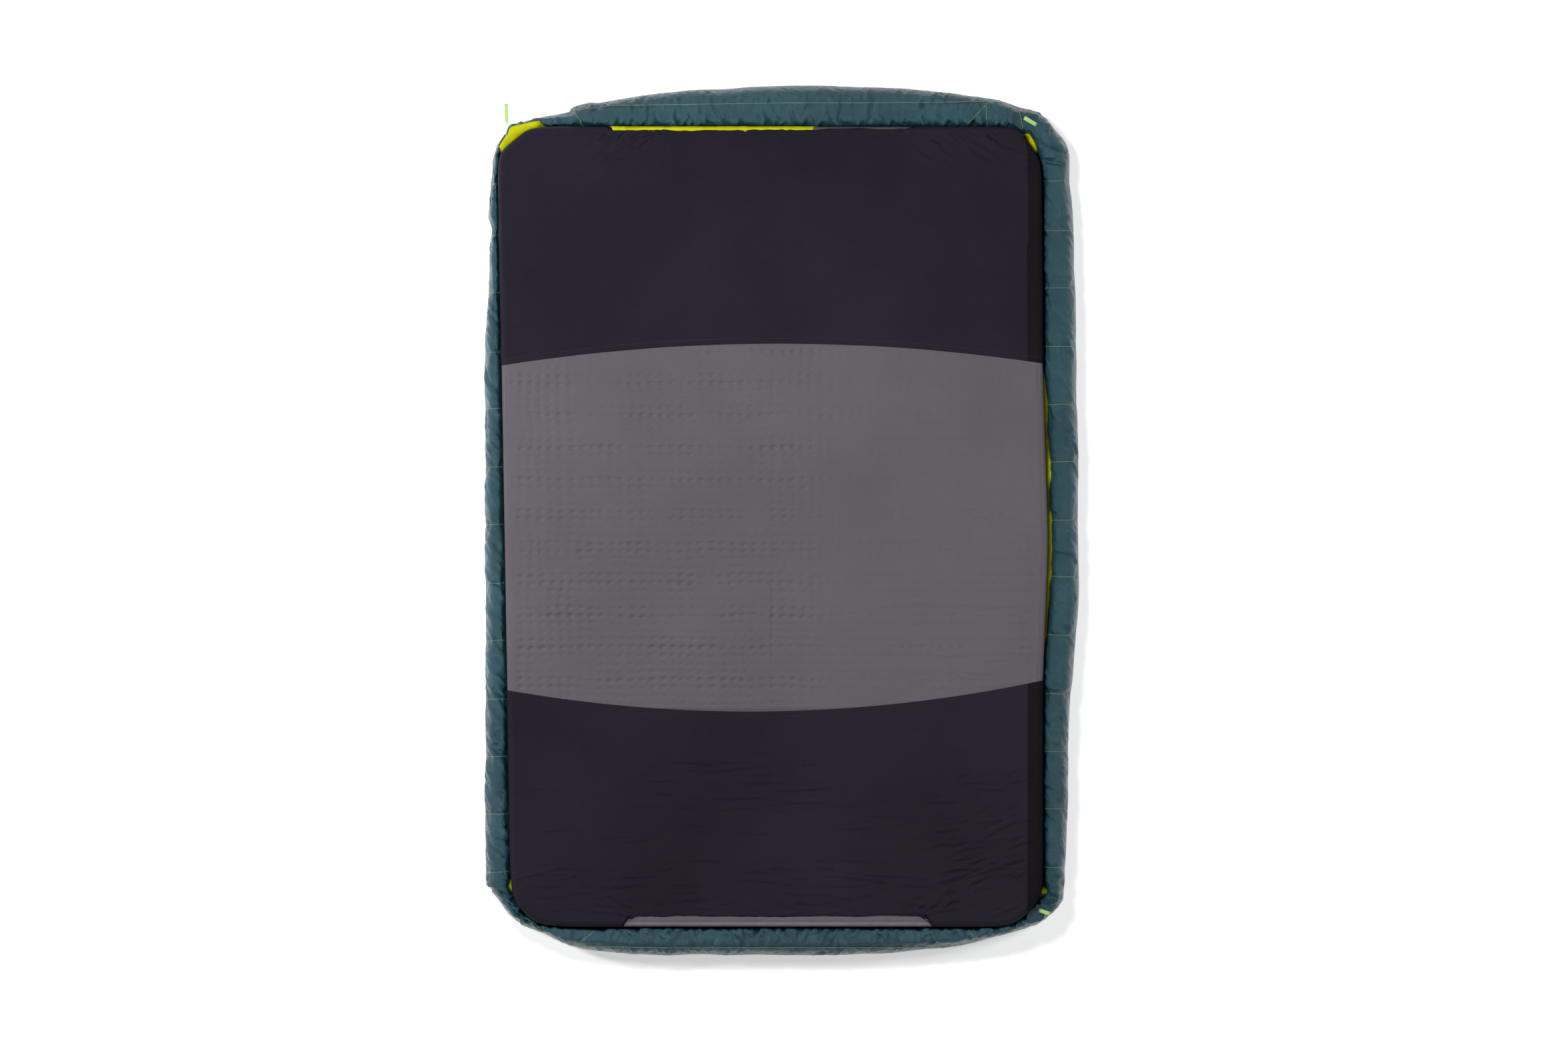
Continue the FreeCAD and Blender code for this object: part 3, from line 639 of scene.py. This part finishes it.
spine = np.column_stack([np.zeros(len(rim_line)), np.clip(qy, -345, 345)])
share = (np.arange(1, UNDER_ROWS + 1) / UNDER_ROWS)[:, None, None]
contact = tube[-1, :, :2]
under_xy = contact[None] * (1 - share) + spine[None] * share
row_gap = np.abs(under_xy[..., 1][..., None] - (ROWS + LEFT_ROW_SHIFT / 2)).min(axis=2)
under_z = 0.5 + 5.0 * np.exp(-row_gap / 14) * smooth(share[..., 0], 0, 0.06) + 0.5 * (
    1 + cloud(under_xy[..., 0] / 60, under_xy[..., 1] / 25, 83))
under = np.dstack([under_xy, under_z])
# the rings inside, between the lining and the tube
hidden_rows = [
    np.column_stack([spine, np.full(len(spine), 19.5)]),
    np.column_stack([inner_line - away * 40, np.full(len(spine), 19.5)]),
    np.column_stack([inner_line + away * 0.5, np.full(len(spine), 20.5)]),
    np.column_stack([inner_line + away * (tube_start + 1)[:, None], np.full(len(spine), 34.0)]),
]
shell = np.concatenate([np.array(hidden_rows), tube, under])
faces = grid_faces(len(shell), len(rim_line), wrap=True)
quilt_shell = make_object("quilt_shell", shell.reshape(-1, 3), faces.tolist(), [TEAL])
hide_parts("outer_shell", "insulation")

# ---------------- lining
pick = slice(None, None, 2)     # every second section of the rim
level = LINING_LEVEL + lime_shown * 42
rise = np.clip((level - RIM_MIDDLE) / (tube_top - RIM_MIDDLE), 0, 0.98)
lean_in = half * (1 - (1 - rise ** RIM_INNER_POWER) ** (1 / RIM_INNER_POWER)) + 7 * lime_shown
furthest = tube_start + 0.45 * tube_width
ripple = 1.2 * noise(along_rim / 14, 0 * along_rim, 91) * lime_shown


def lining_row(distance, z):
    place = inner_line + away * np.minimum(distance, furthest)[:, None]
    return np.column_stack([place, np.broadcast_to(z, len(place))])[pick]


lining_rows = np.array([
    np.column_stack([spine, np.full(len(spine), 21.6)])[pick],
    lining_row(-30 + 0 * level, 21.6), lining_row(1.0 + 0 * level, 23.5), lining_row(1.2 + 0 * level, 40.0),
    lining_row(1.3 + 0 * level, level - 4), lining_row(1.3 + 0.25 * (tube_start + lean_in), level + ripple),
    lining_row(0.65 * (tube_start + lean_in), level + 2.0 * lime_shown - ripple),
    lining_row(tube_start + lean_in + 1.0, level + 1.5), lining_row(tube_start + lean_in + 7.0, level - 3),
])
lining_faces = grid_faces(len(lining_rows), lining_rows.shape[1], wrap=True, flip=True).tolist()
# a lip of it is drawn up over the pad's head end, inside the pocket's opening
opening = box("head_end_binding")
lip_x = np.arange(opening[0][0] - 4, opening[0][0] + 530, 5.0)
drawn = window(lip_x, opening[0][0] + 12, opening[0][0] + 500, 22)[None]
lip_out = np.array([1.6, 1.6, 1.0, -0.8, -3.6, -7.4, -12.5])[:, None]
lip_up = np.array([82, 99, 106, 111.5, 115.6, 118.0, 118.9])[:, None]
crumple = 0.7 * noise(lip_x / 9, 0 * lip_x, 95) + 0.5 * noise(lip_x / 31, 0 * lip_x, 96)
lip = np.dstack([
    lip_x[None] + 0 * lip_up, pad_head + lip_out * drawn + 1.0 * (1 - drawn) + crumple * (lip_up > 104),
    82 + (lip_up - 82) * drawn + 0.5 * crumple * (lip_up > 104),
])
lip_faces = grid_faces(*lip.shape[:2]) + lining_rows.size // 3
lining = make_object(
    "quilt_lining", np.vstack([lining_rows.reshape(-1, 3), lip.reshape(-1, 3)]),
    lining_faces + lip_faces.tolist(), [LIME],
)
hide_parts("lining")


# ---------------- sleeping pad
# distances from an edge at which a grid has its outermost lines
EDGE_STEPS = np.array([0, 0.4, 1.2, 2.4, 4.0, 6.0, 8.5, 11.5, 15.0])


def shares_across(width, step):
    """Shares of a width from 0 to 1, closest together by both ends."""
    middle = np.linspace(15, width - 15, int((width - 30) / step))
    return np.concatenate([EDGE_STEPS[:-1], middle, width - EDGE_STEPS[:-1][::-1]]) / width


def rounded_height(inside, top, radius):
    """Height of a top with a rounded edge, at a distance inside its outline."""
    short = np.clip(radius - inside, 0, radius)
    return top - radius + np.sqrt(np.maximum(radius ** 2 - short ** 2, 0))


def build_pad():
    left_at, right_at = side_limits(pad_line)
    ends = np.concatenate([EDGE_STEPS[:-1], 15 + 85 * (1 - np.cos(np.linspace(0, np.pi / 2, 14)))])
    ys = np.concatenate([
        pad_foot + ends, np.arange(pad_foot + 110, -490, 14), np.arange(-486, 446, 3.6),
        np.arange(452, pad_head - 104, 14), (pad_head - ends)[::-1],
    ])
    across = shares_across(PAD_WIDTH, COLUMN_STEP)
    y = np.broadcast_to(ys[:, None], (len(ys), len(across)))
    low, high = left_at(ys)[:, None], right_at(ys)[:, None]
    x = low + (high - low) * across
    inside = edge_distance(x, y, pad_line)
    inside[:, [0, -1]] = 0
    inside[[0, -1]] = 0
    z = rounded_height(inside, pad_top - 0.4, PAD_TOP_RADIUS)

    open_face = window(y, -462, 425, 6)
    weld = np.exp(-((inside - WELD_INSET) / 1.7) ** 2)
    flat = smooth(inside, 14, 30)
    face = flat * open_face
    # dimples where the foam is bonded: short across, in rows that come in pairs
    pitch_x, pitch_y = DIMPLE_PITCH
    shift = 0.25 * noise(x / 70, y / 70, 3)
    u = x / pitch_x + shift
    v = y / pitch_y + 0.2 * noise(x / 90, y / 50, 8)
    du, dv = (u - np.round(u)) * pitch_x, (v - np.round(v)) * pitch_y
    dimple = np.exp(-(du / 6.4) ** 2 - (dv / 4.2) ** 2)
    on_left_half = 1 - smooth(x, 20, 150)
    pair = 0.55 + 0.45 * np.cos(2 * np.pi * (y - 12) / 82.0)
    columns = np.cos(2 * np.pi * u) * window(x, -480, 10, 60)
    strength = (0.55 + 0.3 * noise(x / 60, y / 60, 15)) * (0.35 + 0.65 * pair ** 2)
    z = z - face * dimple * DIMPLE_DEPTH * strength * (0.35 + 0.65 * on_left_half)
    z = z + face * 0.4 * columns * on_left_half
    # the right half is pulled into low horizontal waves
    wavy = y + 4.5 * noise(x / 130, y / 45, 21) + 1.5 * noise(x / 40, y / 20, 23)
    waves = np.cos(2 * np.pi * wavy / 41.0) + 0.6 * np.cos(2 * np.pi * wavy / 20.5 + 0.8)
    z = z + face * 0.42 * waves * smooth(x, 60, 330) * (0.65 + 0.5 * noise(x / 110, y / 90, 27))
    z = z + face * (
        0.9 * folds(x, y, 5, 60, (330, 640, -430, 370), (-7, 7), (60, 210), (3, 6), (0.4, 1.3))
        + 0.6 * folds(x, y, 6, 40, (-10, 420, -440, 400), (-8, 8), (60, 240), (3, 7), (0.2, 0.8)))
    z = z + flat * 0.8 * cloud(x / 160, y / 130, 29)
    z = z - open_face * 1.9 * weld
    seam = np.exp(-((x - CENTRE_SEAM) / 1.6) ** 2)
    z = z - face * seam * (0.7 + 1.6 * smooth(-y, 100, 180))
    z = z - POCKET_SINK * (1 - open_face) * flat
    # the foot end's edge, gathered in the pocket's opening
    ruched = (1 - smooth(y, -985, -940)) * smooth(inside, 3, 10)
    z = z + ruched * (1.0 * noise(x / 8, y / 40, 35) + 0.6 * noise(x / 19, y / 30, 36) - 1.2)
    z = z - (1 - open_face) * 0.8 * np.exp(-((inside - 11) / 1.6) ** 2)

    top = np.dstack([x, y, z])
    faces = grid_faces(*x.shape).tolist()
    # faces within 11 mm of the outline at the foot end take the lighter grey
    at_edge = ((inside < 11) & (y < -900)).reshape(-1)[np.array(faces)[:, 0]].astype(int).tolist()
    number = np.arange(x.size).reshape(x.shape)
    loop = np.concatenate([number[0], number[1:, -1], number[-1, -2::-1], number[-2:0:-1, 0]])
    points = [top.reshape(-1, 3)]
    edge = top.reshape(-1, 3)[loop]
    previous, total = loop, len(points[0])
    middle = np.array([edge[:, 0].mean(), edge[:, 1].mean()])
    # the side wall, ring by ring, then the bottom
    for level, inset in ((92, 0), (66, 0.3), (40, 0), (30, 3), (pad_low + 1.2, 12)):
        ring = edge.copy()
        outwards = ring[:, :2] - middle
        ring[:, :2] -= outwards / np.hypot(*outwards.T)[:, None] * inset
        ring[:, 2] = level
        here = np.arange(total, total + len(loop))
        faces += [
            (int(a), int(c), int(d), int(b))
            for a, b, c, d in zip(previous, np.roll(previous, -1), here, np.roll(here, -1))
        ]
        points.append(ring)
        previous, total = here, total + len(loop)
    points.append(np.array([[*middle, pad_low + 1.2]]))
    faces += [(int(a), total, int(b)) for a, b in zip(previous, np.roll(previous, -1))]
    at_edge += [0] * (len(faces) - len(at_edge))
    piece = make_object("pad_cover", np.vstack(points), faces, [PAD, PAD_EDGE], shares=at_edge)
    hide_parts("pad_ground_sheet", "pad_side_wall", "pad_sleep_sheet", "foam_core_left", "foam_core_right")


build_pad()


# ---------------- pockets
def head_wrinkles(x, y):
    """Folds that fan out from the head corners, and fine ones from side to side."""
    return (
        folds(x, y, 101, 34, (-620, -80, 868, 950), (12, 36), (110, 280), (3.0, 5.0), (1.8, 4.2))
        + folds(x, y, 107, 18, (-480, -330, 905, 952), (20, 70), (50, 120), (2.8, 4.5), (1.8, 4.0))
        + folds(x, y, 102, 26, (330, 620, 880, 952), (-44, -10), (70, 200), (3.0, 5.0), (1.4, 3.6))
        + folds(x, y, 103, 26, (-650, 560, 905, 955), (60, 85), (25, 60), (2.5, 5), (0.5, 1.4))
        + folds(x, y, 104, 40, (120, 600, 480, 900), (-7, 7), (110, 300), (3, 6), (0.15, 0.5))
        + folds(x, y, 105, 14, (440, 600, 560, 660), (-12, 6), (60, 150), (3, 5), (0.5, 1.1))
        + folds(x, y, 106, 60, (-680, -200, 470, 900), (-8, 8), (70, 240), (3, 6), (0.15, 0.5))
    )


def foot_wrinkles(x, y):
    """Long folds across the foot, denser towards the end."""
    return (
        folds(x, y, 201, 90, (-600, 560, -940, -560), (-5, 5), (120, 420), (2.8, 5.0), (0.8, 2.6))
        + folds(x, y, 202, 12, (-300, 90, -740, -600), (-6, 4), (140, 300), (4, 6.5), (1.8, 3.0))
        + folds(x, y, 203, 60, (400, 600, -960, -610), (4, 28), (70, 220), (2.8, 5), (1.4, 3.4))
        + folds(x, y, 204, 70, (-620, 600, -968, -850), (-14, 14), (60, 260), (2.8, 5), (1.3, 3.4))
        + folds(x, y, 207, 12, (-420, -300, -965, -920), (-40, -8), (60, 140), (2.5, 5), (1.2, 2.8))
        + folds(x, y, 208, 12, (300, 420, -965, -920), (8, 40), (60, 140), (2.5, 5), (1.2, 2.8))
        + folds(x, y, 205, 44, (-640, -480, -930, -520), (-8, 8), (50, 150), (3, 6), (0.3, 1.0))
        + folds(x, y, 206, 30, (-620, 590, -560, -480), (-6, 6), (80, 260), (3, 6), (0.2, 0.8))
    )


def build_pocket(name, outward_sign, wrinkles):
    """One pocket, worked out with its end upwards: outward_sign is -1 for the foot, where y is mirrored."""
    line = (pad_line + outward(pad_line) * POCKET_RISE) * [1, outward_sign]
    if outward_sign < 0:
        line = line[::-1]
    left_at, right_at = side_limits(line)
    end = line[:, 1].max()
    hem = node_points(f"{name}_hem")
    best = {}
    for hem_x, hem_y in hem[:, :2] * [1, outward_sign]:
        best[round(hem_x / 4)] = min(best.get(round(hem_x / 4), 9e9), hem_y)
    knots = np.array([(4.0 * k, v) for k, v in sorted(best.items())])
    # the hem's inner edge is nearly a parabola; the second fit leaves out points that lie off it
    fit = np.polyfit(knots[:, 0], knots[:, 1], 2)
    knots = knots[knots[:, 1] < np.polyval(fit, knots[:, 0]) + 4]
    fit = np.polyfit(knots[:, 0], knots[:, 1], 2)
    opening = box(f"{name}_end_binding")
    open_left, open_right = opening[0][0], opening[1][0]
    open_edge = max(corner[1] * outward_sign for corner in opening)
    seam_x = box(f"{name}_pocket_panel")[1][0]

    crest = np.polyval(fit, -21.0)      # where the hem is nearest the pocket's end
    depth_all = end - crest
    near_hem = np.array([0, 0.3, 0.8, 1.6, 3, 5, 7, 9, 11, 12.4, 13.2, 14.0, 15, 16.5, 18.5])
    turned = depth_all - 15 - 95 * (1 - np.sin(np.linspace(0, np.pi / 2, 30)))
    steps = np.concatenate([
        near_hem, np.arange(21.5, turned[0] - 2, 3.4), turned, depth_all - EDGE_STEPS[:-1][::-1],
    ])
    across = shares_across(PAD_WIDTH, COLUMN_STEP)
    blend = smooth(steps, 15, 0.62 * depth_all)[:, None]
    x = np.broadcast_to(-680 + 1330 * across[None], (len(steps), len(across)))
    for _ in range(3):
        y = np.polyval(fit, x) * (1 - blend) + crest * blend + steps[:, None]
        x = left_at(y) + (right_at(y) - left_at(y)) * across[None]
    free_width = window(x, open_left + 6, open_right - 6, 20)
    edge_wave = 1.1 * noise(x / 17, 0 * x, 131) + 1.6 * noise(x / 60, 0 * x, 132)
    proud = 2.5 + 4.5 * smooth(x, 70, 110) if outward_sign > 0 else 0.0
    limit = open_edge + proud + edge_wave + (1 - free_width) * 60
    open_here = y > limit
    y = np.minimum(y, limit)
    inside = edge_distance(x, y, line)
    inside[:, [0, -1]] = 0
    inside[-1] = np.where(open_here[-1], inside[-1], 0)
    z = rounded_height(inside, pad_top + POCKET_RISE, PAD_TOP_RADIUS + POCKET_RISE)

    flat = smooth(inside, 4, 22)
    real_y = y * outward_sign
    from_hem = np.broadcast_to(steps[:, None], x.shape)
    calm = smooth(from_hem, 14, 40)
    height = wrinkles(x, real_y) + 0.7 * cloud(x / 150, real_y / 90, 141)
    valley = FOLD_VALLEY * (np.exp(np.minimum(height, 0) / FOLD_VALLEY) - 1)
    height = np.where(height < 0, valley, FOLD_CREST * np.tanh(height / FOLD_CREST))
    z = z + flat * calm * height
    # the pad's rows of dimples show faintly through the left side
    telegraph = np.cos(2 * np.pi * real_y / DIMPLE_PITCH[1]) * (1 - smooth(x, -640, -540)) * 0.25
    z = z + flat * calm * telegraph
    # the hem is a folded casing, gathered by its elastic, with a row of stitches along its inner edge
    casing = smooth(from_hem, -0.1, 1.4) * (1 - smooth(from_hem, *CASING))
    gather = 0.35 * noise(x / 3.4, from_hem / 11, 151) + 0.35 * noise(x / 9.0, from_hem / 16, 152)
    stitched = np.exp(-((from_hem - STITCH_LINE) / 0.9) ** 2)
    z = z + casing * (1.1 + gather * smooth(from_hem, 0, 3)) - 0.7 * stitched - 0.6 * (from_hem < 0.2)
    # narrow binding along the end opening
    to_edge = np.where(free_width > 0.02, limit - y, 99.0)
    bound = smooth(-to_edge, -11.5, -9.5) * smooth(to_edge, -0.2, 1.2)
    ruche = 0.5 * noise(x / 7, y / 14, 161) + 0.4 * noise(x / 19, y / 20, 162)
    z = z + bound * (0.8 + ruche)

    grid = np.dstack([x, real_y, z])
    quads = grid_faces(*x.shape, flip=outward_sign < 0)
    flat_open = open_here.reshape(-1)
    quads = quads[~flat_open[quads].all(axis=1)]
    number = np.arange(x.size).reshape(x.shape)
    loop = np.concatenate([number[:, 0], number[-1, 1:], number[-2::-1, -1]])
    points = [grid.reshape(-1, 3)]
    edge = points[0][loop]
    blocked = flat_open[loop]
    total, previous, skirt = len(points[0]), loop, []
    middle = np.array([0.0, outward_sign * 400.0])
    path = np.arange(len(loop)) * 4.0
    for level, wave in SKIRT:
        ring = edge.copy()
        push = wave * noise(path / 24, np.full(len(loop), level / 17.0), 171)
        outwards = ring[:, :2] - middle
        ring[:, :2] += outwards / np.hypot(*outwards.T)[:, None] * push[:, None]
        ring[:, 2] = level
        here = np.arange(total, total + len(loop))
        for k in range(len(loop) - 1):
            if not (blocked[k] and blocked[k + 1]):
                quad = (int(previous[k]), int(previous[k + 1]), int(here[k + 1]), int(here[k]))
                skirt.append(quad if outward_sign > 0 else quad[::-1])
        points.append(ring)
        previous, total = here, total + len(loop)
    points = np.vstack(points)
    faces = quads.tolist() + skirt
    # faces right of the pocket panel's right seam take the darker copy of the nylon: painted shade on the pocket's
    # right side
    middles = np.array([points[list(f)].mean(axis=0) for f in faces])
    seam_wave = seam_x + 0.6 * noise(middles[:, 1] / 30, 0 * middles[:, 1], 181)
    shares = (middles[:, 0] > seam_wave).astype(int)
    piece = make_object(f"{name}_pocket", points, faces, [NYLON, SHADED_NYLON_RIGHT], shares=shares)
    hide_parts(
        *(f"{name}_{part}" for part in (
            "pocket_panel", "gusset_left", "gusset_right", "hem", "hem_elastic", "end_binding", "end_elastic",
        ))
    )
    return piece, grid, from_hem


head_pocket, head_grid, head_steps = build_pocket("head", 1, head_wrinkles)
foot_pocket, foot_grid, foot_steps = build_pocket("foot", -1, foot_wrinkles)


# ---------------- stitches
def stitch_run(path, normals, length, gap, radius):
    """Thread stitches laid end to end along a path; returns points and faces."""
    travel = np.concatenate([[0], np.cumsum(np.linalg.norm(np.diff(path, axis=0), axis=1))])
    starts = np.arange(0, travel[-1] - length, length + gap)
    points, faces = [], []
    for start in starts:
        at = start + length * np.array([0.0, 0.25, 0.75, 1.0])
        centre = np.column_stack([np.interp(at, travel, path[:, k]) for k in range(3)])
        up = np.array([np.interp(start, travel, normals[:, k]) for k in range(3)])
        up /= np.linalg.norm(up)
        forward = centre[-1] - centre[0]
        sideways = np.cross(forward, up)
        sideways /= max(np.linalg.norm(sideways), 1e-9)
        base = len(points)
        for place, size in zip(centre, (0.45, 1.0, 1.0, 0.45)):
            lifted = place + up * radius * (size - 0.35)
            for k in range(6):
                a = k * math.pi / 3
                points.append(lifted + (sideways * math.cos(a) + up * 0.7 * math.sin(a)) * radius * size)
        for ring in range(base, base + 18, 6):
            for k in range(6):
                n = (k + 1) % 6
                faces.append((ring + k, ring + n, ring + 6 + n, ring + 6 + k))
        faces.append(tuple(base + k for k in range(5, -1, -1)))
        faces.append(tuple(base + 18 + k for k in range(6)))
    return points, faces


def gather_runs(runs, name, material, **size):
    """One piece of thread from many runs of (path, normals)."""
    points, faces = [], []
    for path, normals in runs:
        if len(path) < 2:
            continue
        more, quads = stitch_run(path, normals, **size)
        faces += [tuple(i + len(points) for i in f) for f in quads]
        points += more
    return make_object(name, np.array(points), faces, [material])


tube_normal = rim_normals(tube)


def segment_rank(x, y):
    """How far a point lies beside each rim section's line."""
    dx, dy = x - inner_line[:, 0], y - inner_line[:, 1]
    beside = np.abs(dx * away[:, 1] - dy * away[:, 0])
    ahead = dx * away[:, 0] + dy * away[:, 1]
    return beside + np.where((ahead < -25) | (ahead > gap_width + 25), 1e4, 0)


def surface_at(plan):
    """Points and normals on the rim's top, under a run of points in the floor plane."""
    found, ups = [], []
    for x, y in plan:
        column = int(segment_rank(x, y).argmin())
        progress = (tube[:, column, :2] - inner_line[column]) @ away[column]
        want = (np.array([x, y]) - inner_line[column]) @ away[column]
        top = int(np.argmax(progress))
        row = np.interp(want, progress[:top + 1], np.arange(top + 1))
        k, f = int(row), row - int(row)
        after = min(k + 1, top)
        found.append(tube[k, column] * (1 - f) + tube[after, column] * f)
        ups.append(tube_normal[k, column])
    return np.array(found), np.array(ups)


runs = []
for start, end, _ in SEAMS[:2 * len(ROWS)]:
    beside = np.where((qx > 0) == (start[0] > 0), np.abs(qy - start[1]), 1e9)
    column = int(beside.argmin())
    runs.append((tube[5:54, column], tube_normal[5:54, column]))
for seam, low, high in ((head_seam, -510, 510), (foot_seam, -505, 488)):
    xs = np.arange(low, high, 4.0)
    runs.append(surface_at(np.column_stack([xs, seam(xs)])))
for start, end in HEAD_ENDS + FOOT_ENDS:
    steps = np.linspace(0, 1, 14)[:, None]
    runs.append(surface_at(np.array(start) * (1 - steps) + np.array(end) * steps))
seam_thread = gather_runs(runs, "rim_stitches", THREAD, length=3.4, gap=1.2, radius=0.6)
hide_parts("quilting_stitches")

hem_runs = []
for grid, steps in ((head_grid, head_steps), (foot_grid, foot_steps)):
    row = int(np.abs(steps[:, 0] - STITCH_LINE).argmin())
    path = grid[row, 6:-6] + [0, 0, 0.25]
    hem_runs.append((path, np.tile([0.0, 0, 1], (len(path), 1))))
hem_thread = gather_runs(hem_runs, "hem_stitches", DARK_THREAD, length=2.6, gap=1.0, radius=0.4)

# ---------------- CAD parts that stay, in their own finishes
FINISHES = {
    "valve_body": PLASTIC, "valve_cap": PLASTIC, "valve_seal": RUBBER, "loop_head": TAPE, "loop_foot": TAPE,
    "loop_bartacks": THREAD,
}
for name, node in frame["nodes"].items():
    for start, material in FINISHES.items():
        if name.startswith(start):
            node.data.materials.clear()
            node.data.materials.append(material)


# ---------------- floor, light and camera
def build_stage():
    mesh = bpy.data.meshes.new("floor")
    corners = [(x * FLOOR_REACH, y * FLOOR_REACH, FLOOR_LEVEL) for x, y in ((-1, -1), (1, -1), (1, 1), (-1, 1))]
    mesh.from_pydata(corners, [], [(0, 1, 2, 3)])
    material, _, shader = new_material("floor", (0.93, 0.93, 0.93), 0.85)
    shader.inputs["Specular IOR Level"].default_value = 0.0
    shader.inputs["Emission Color"].default_value = (1, 1, 1, 1)
    shader.inputs["Emission Strength"].default_value = FLOOR_GLOW
    mesh.materials.append(material)
    floor = bpy.data.objects.new("floor", mesh)
    bpy.context.scene.collection.objects.link(floor)
    floor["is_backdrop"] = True

    # the studio's walls are bright and its ceiling dim, so flat fabric doesn't mirror a white sky
    world = bpy.data.worlds.new("studio")
    world.use_nodes = True
    tree = world.node_tree
    place = add(tree, "ShaderNodeTexCoord")
    split = add(tree, "ShaderNodeSeparateXYZ")
    span = add(tree, "ShaderNodeMapRange")
    span.inputs["From Min"].default_value, span.inputs["From Max"].default_value = HORIZON_BAND
    span.inputs["To Min"].default_value, span.inputs["To Max"].default_value = WORLD_HORIZON, WORLD_ZENITH
    tree.links.new(place.outputs["Generated"], split.inputs["Vector"])
    tree.links.new(split.outputs["Z"], span.inputs["Value"])
    tree.links.new(span.outputs["Result"], tree.nodes["Background"].inputs["Strength"])
    bpy.context.scene.world = world
    for name, place, power, width, height in LAMPS:
        light = bpy.data.lights.new(name, "AREA")
        light.shape, light.size, light.size_y, light.energy = "RECTANGLE", width, height, power
        lamp = bpy.data.objects.new(name, light)
        lamp.location = place
        lamp.rotation_mode = "QUATERNION"
        lamp.rotation_quaternion = (-lamp.location).to_track_quat("-Z", "Y")
        lamp.visible_camera = False
        bpy.context.scene.collection.objects.link(lamp)

    lens = bpy.data.cameras.new("camera")
    lens.lens, lens.sensor_width, lens.clip_end = CAMERA_LENS, SENSOR_WIDTH, 200.0
    camera = bpy.data.objects.new("camera", lens)
    camera.location = (*CAMERA_CENTRE, FOCUS_LEVEL + FRAME_WIDTH * CAMERA_LENS / SENSOR_WIDTH)
    bpy.context.scene.collection.objects.link(camera)
    bpy.context.scene.camera = camera
    bpy.context.scene.view_settings.view_transform = "Standard"


build_stage()

low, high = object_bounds()
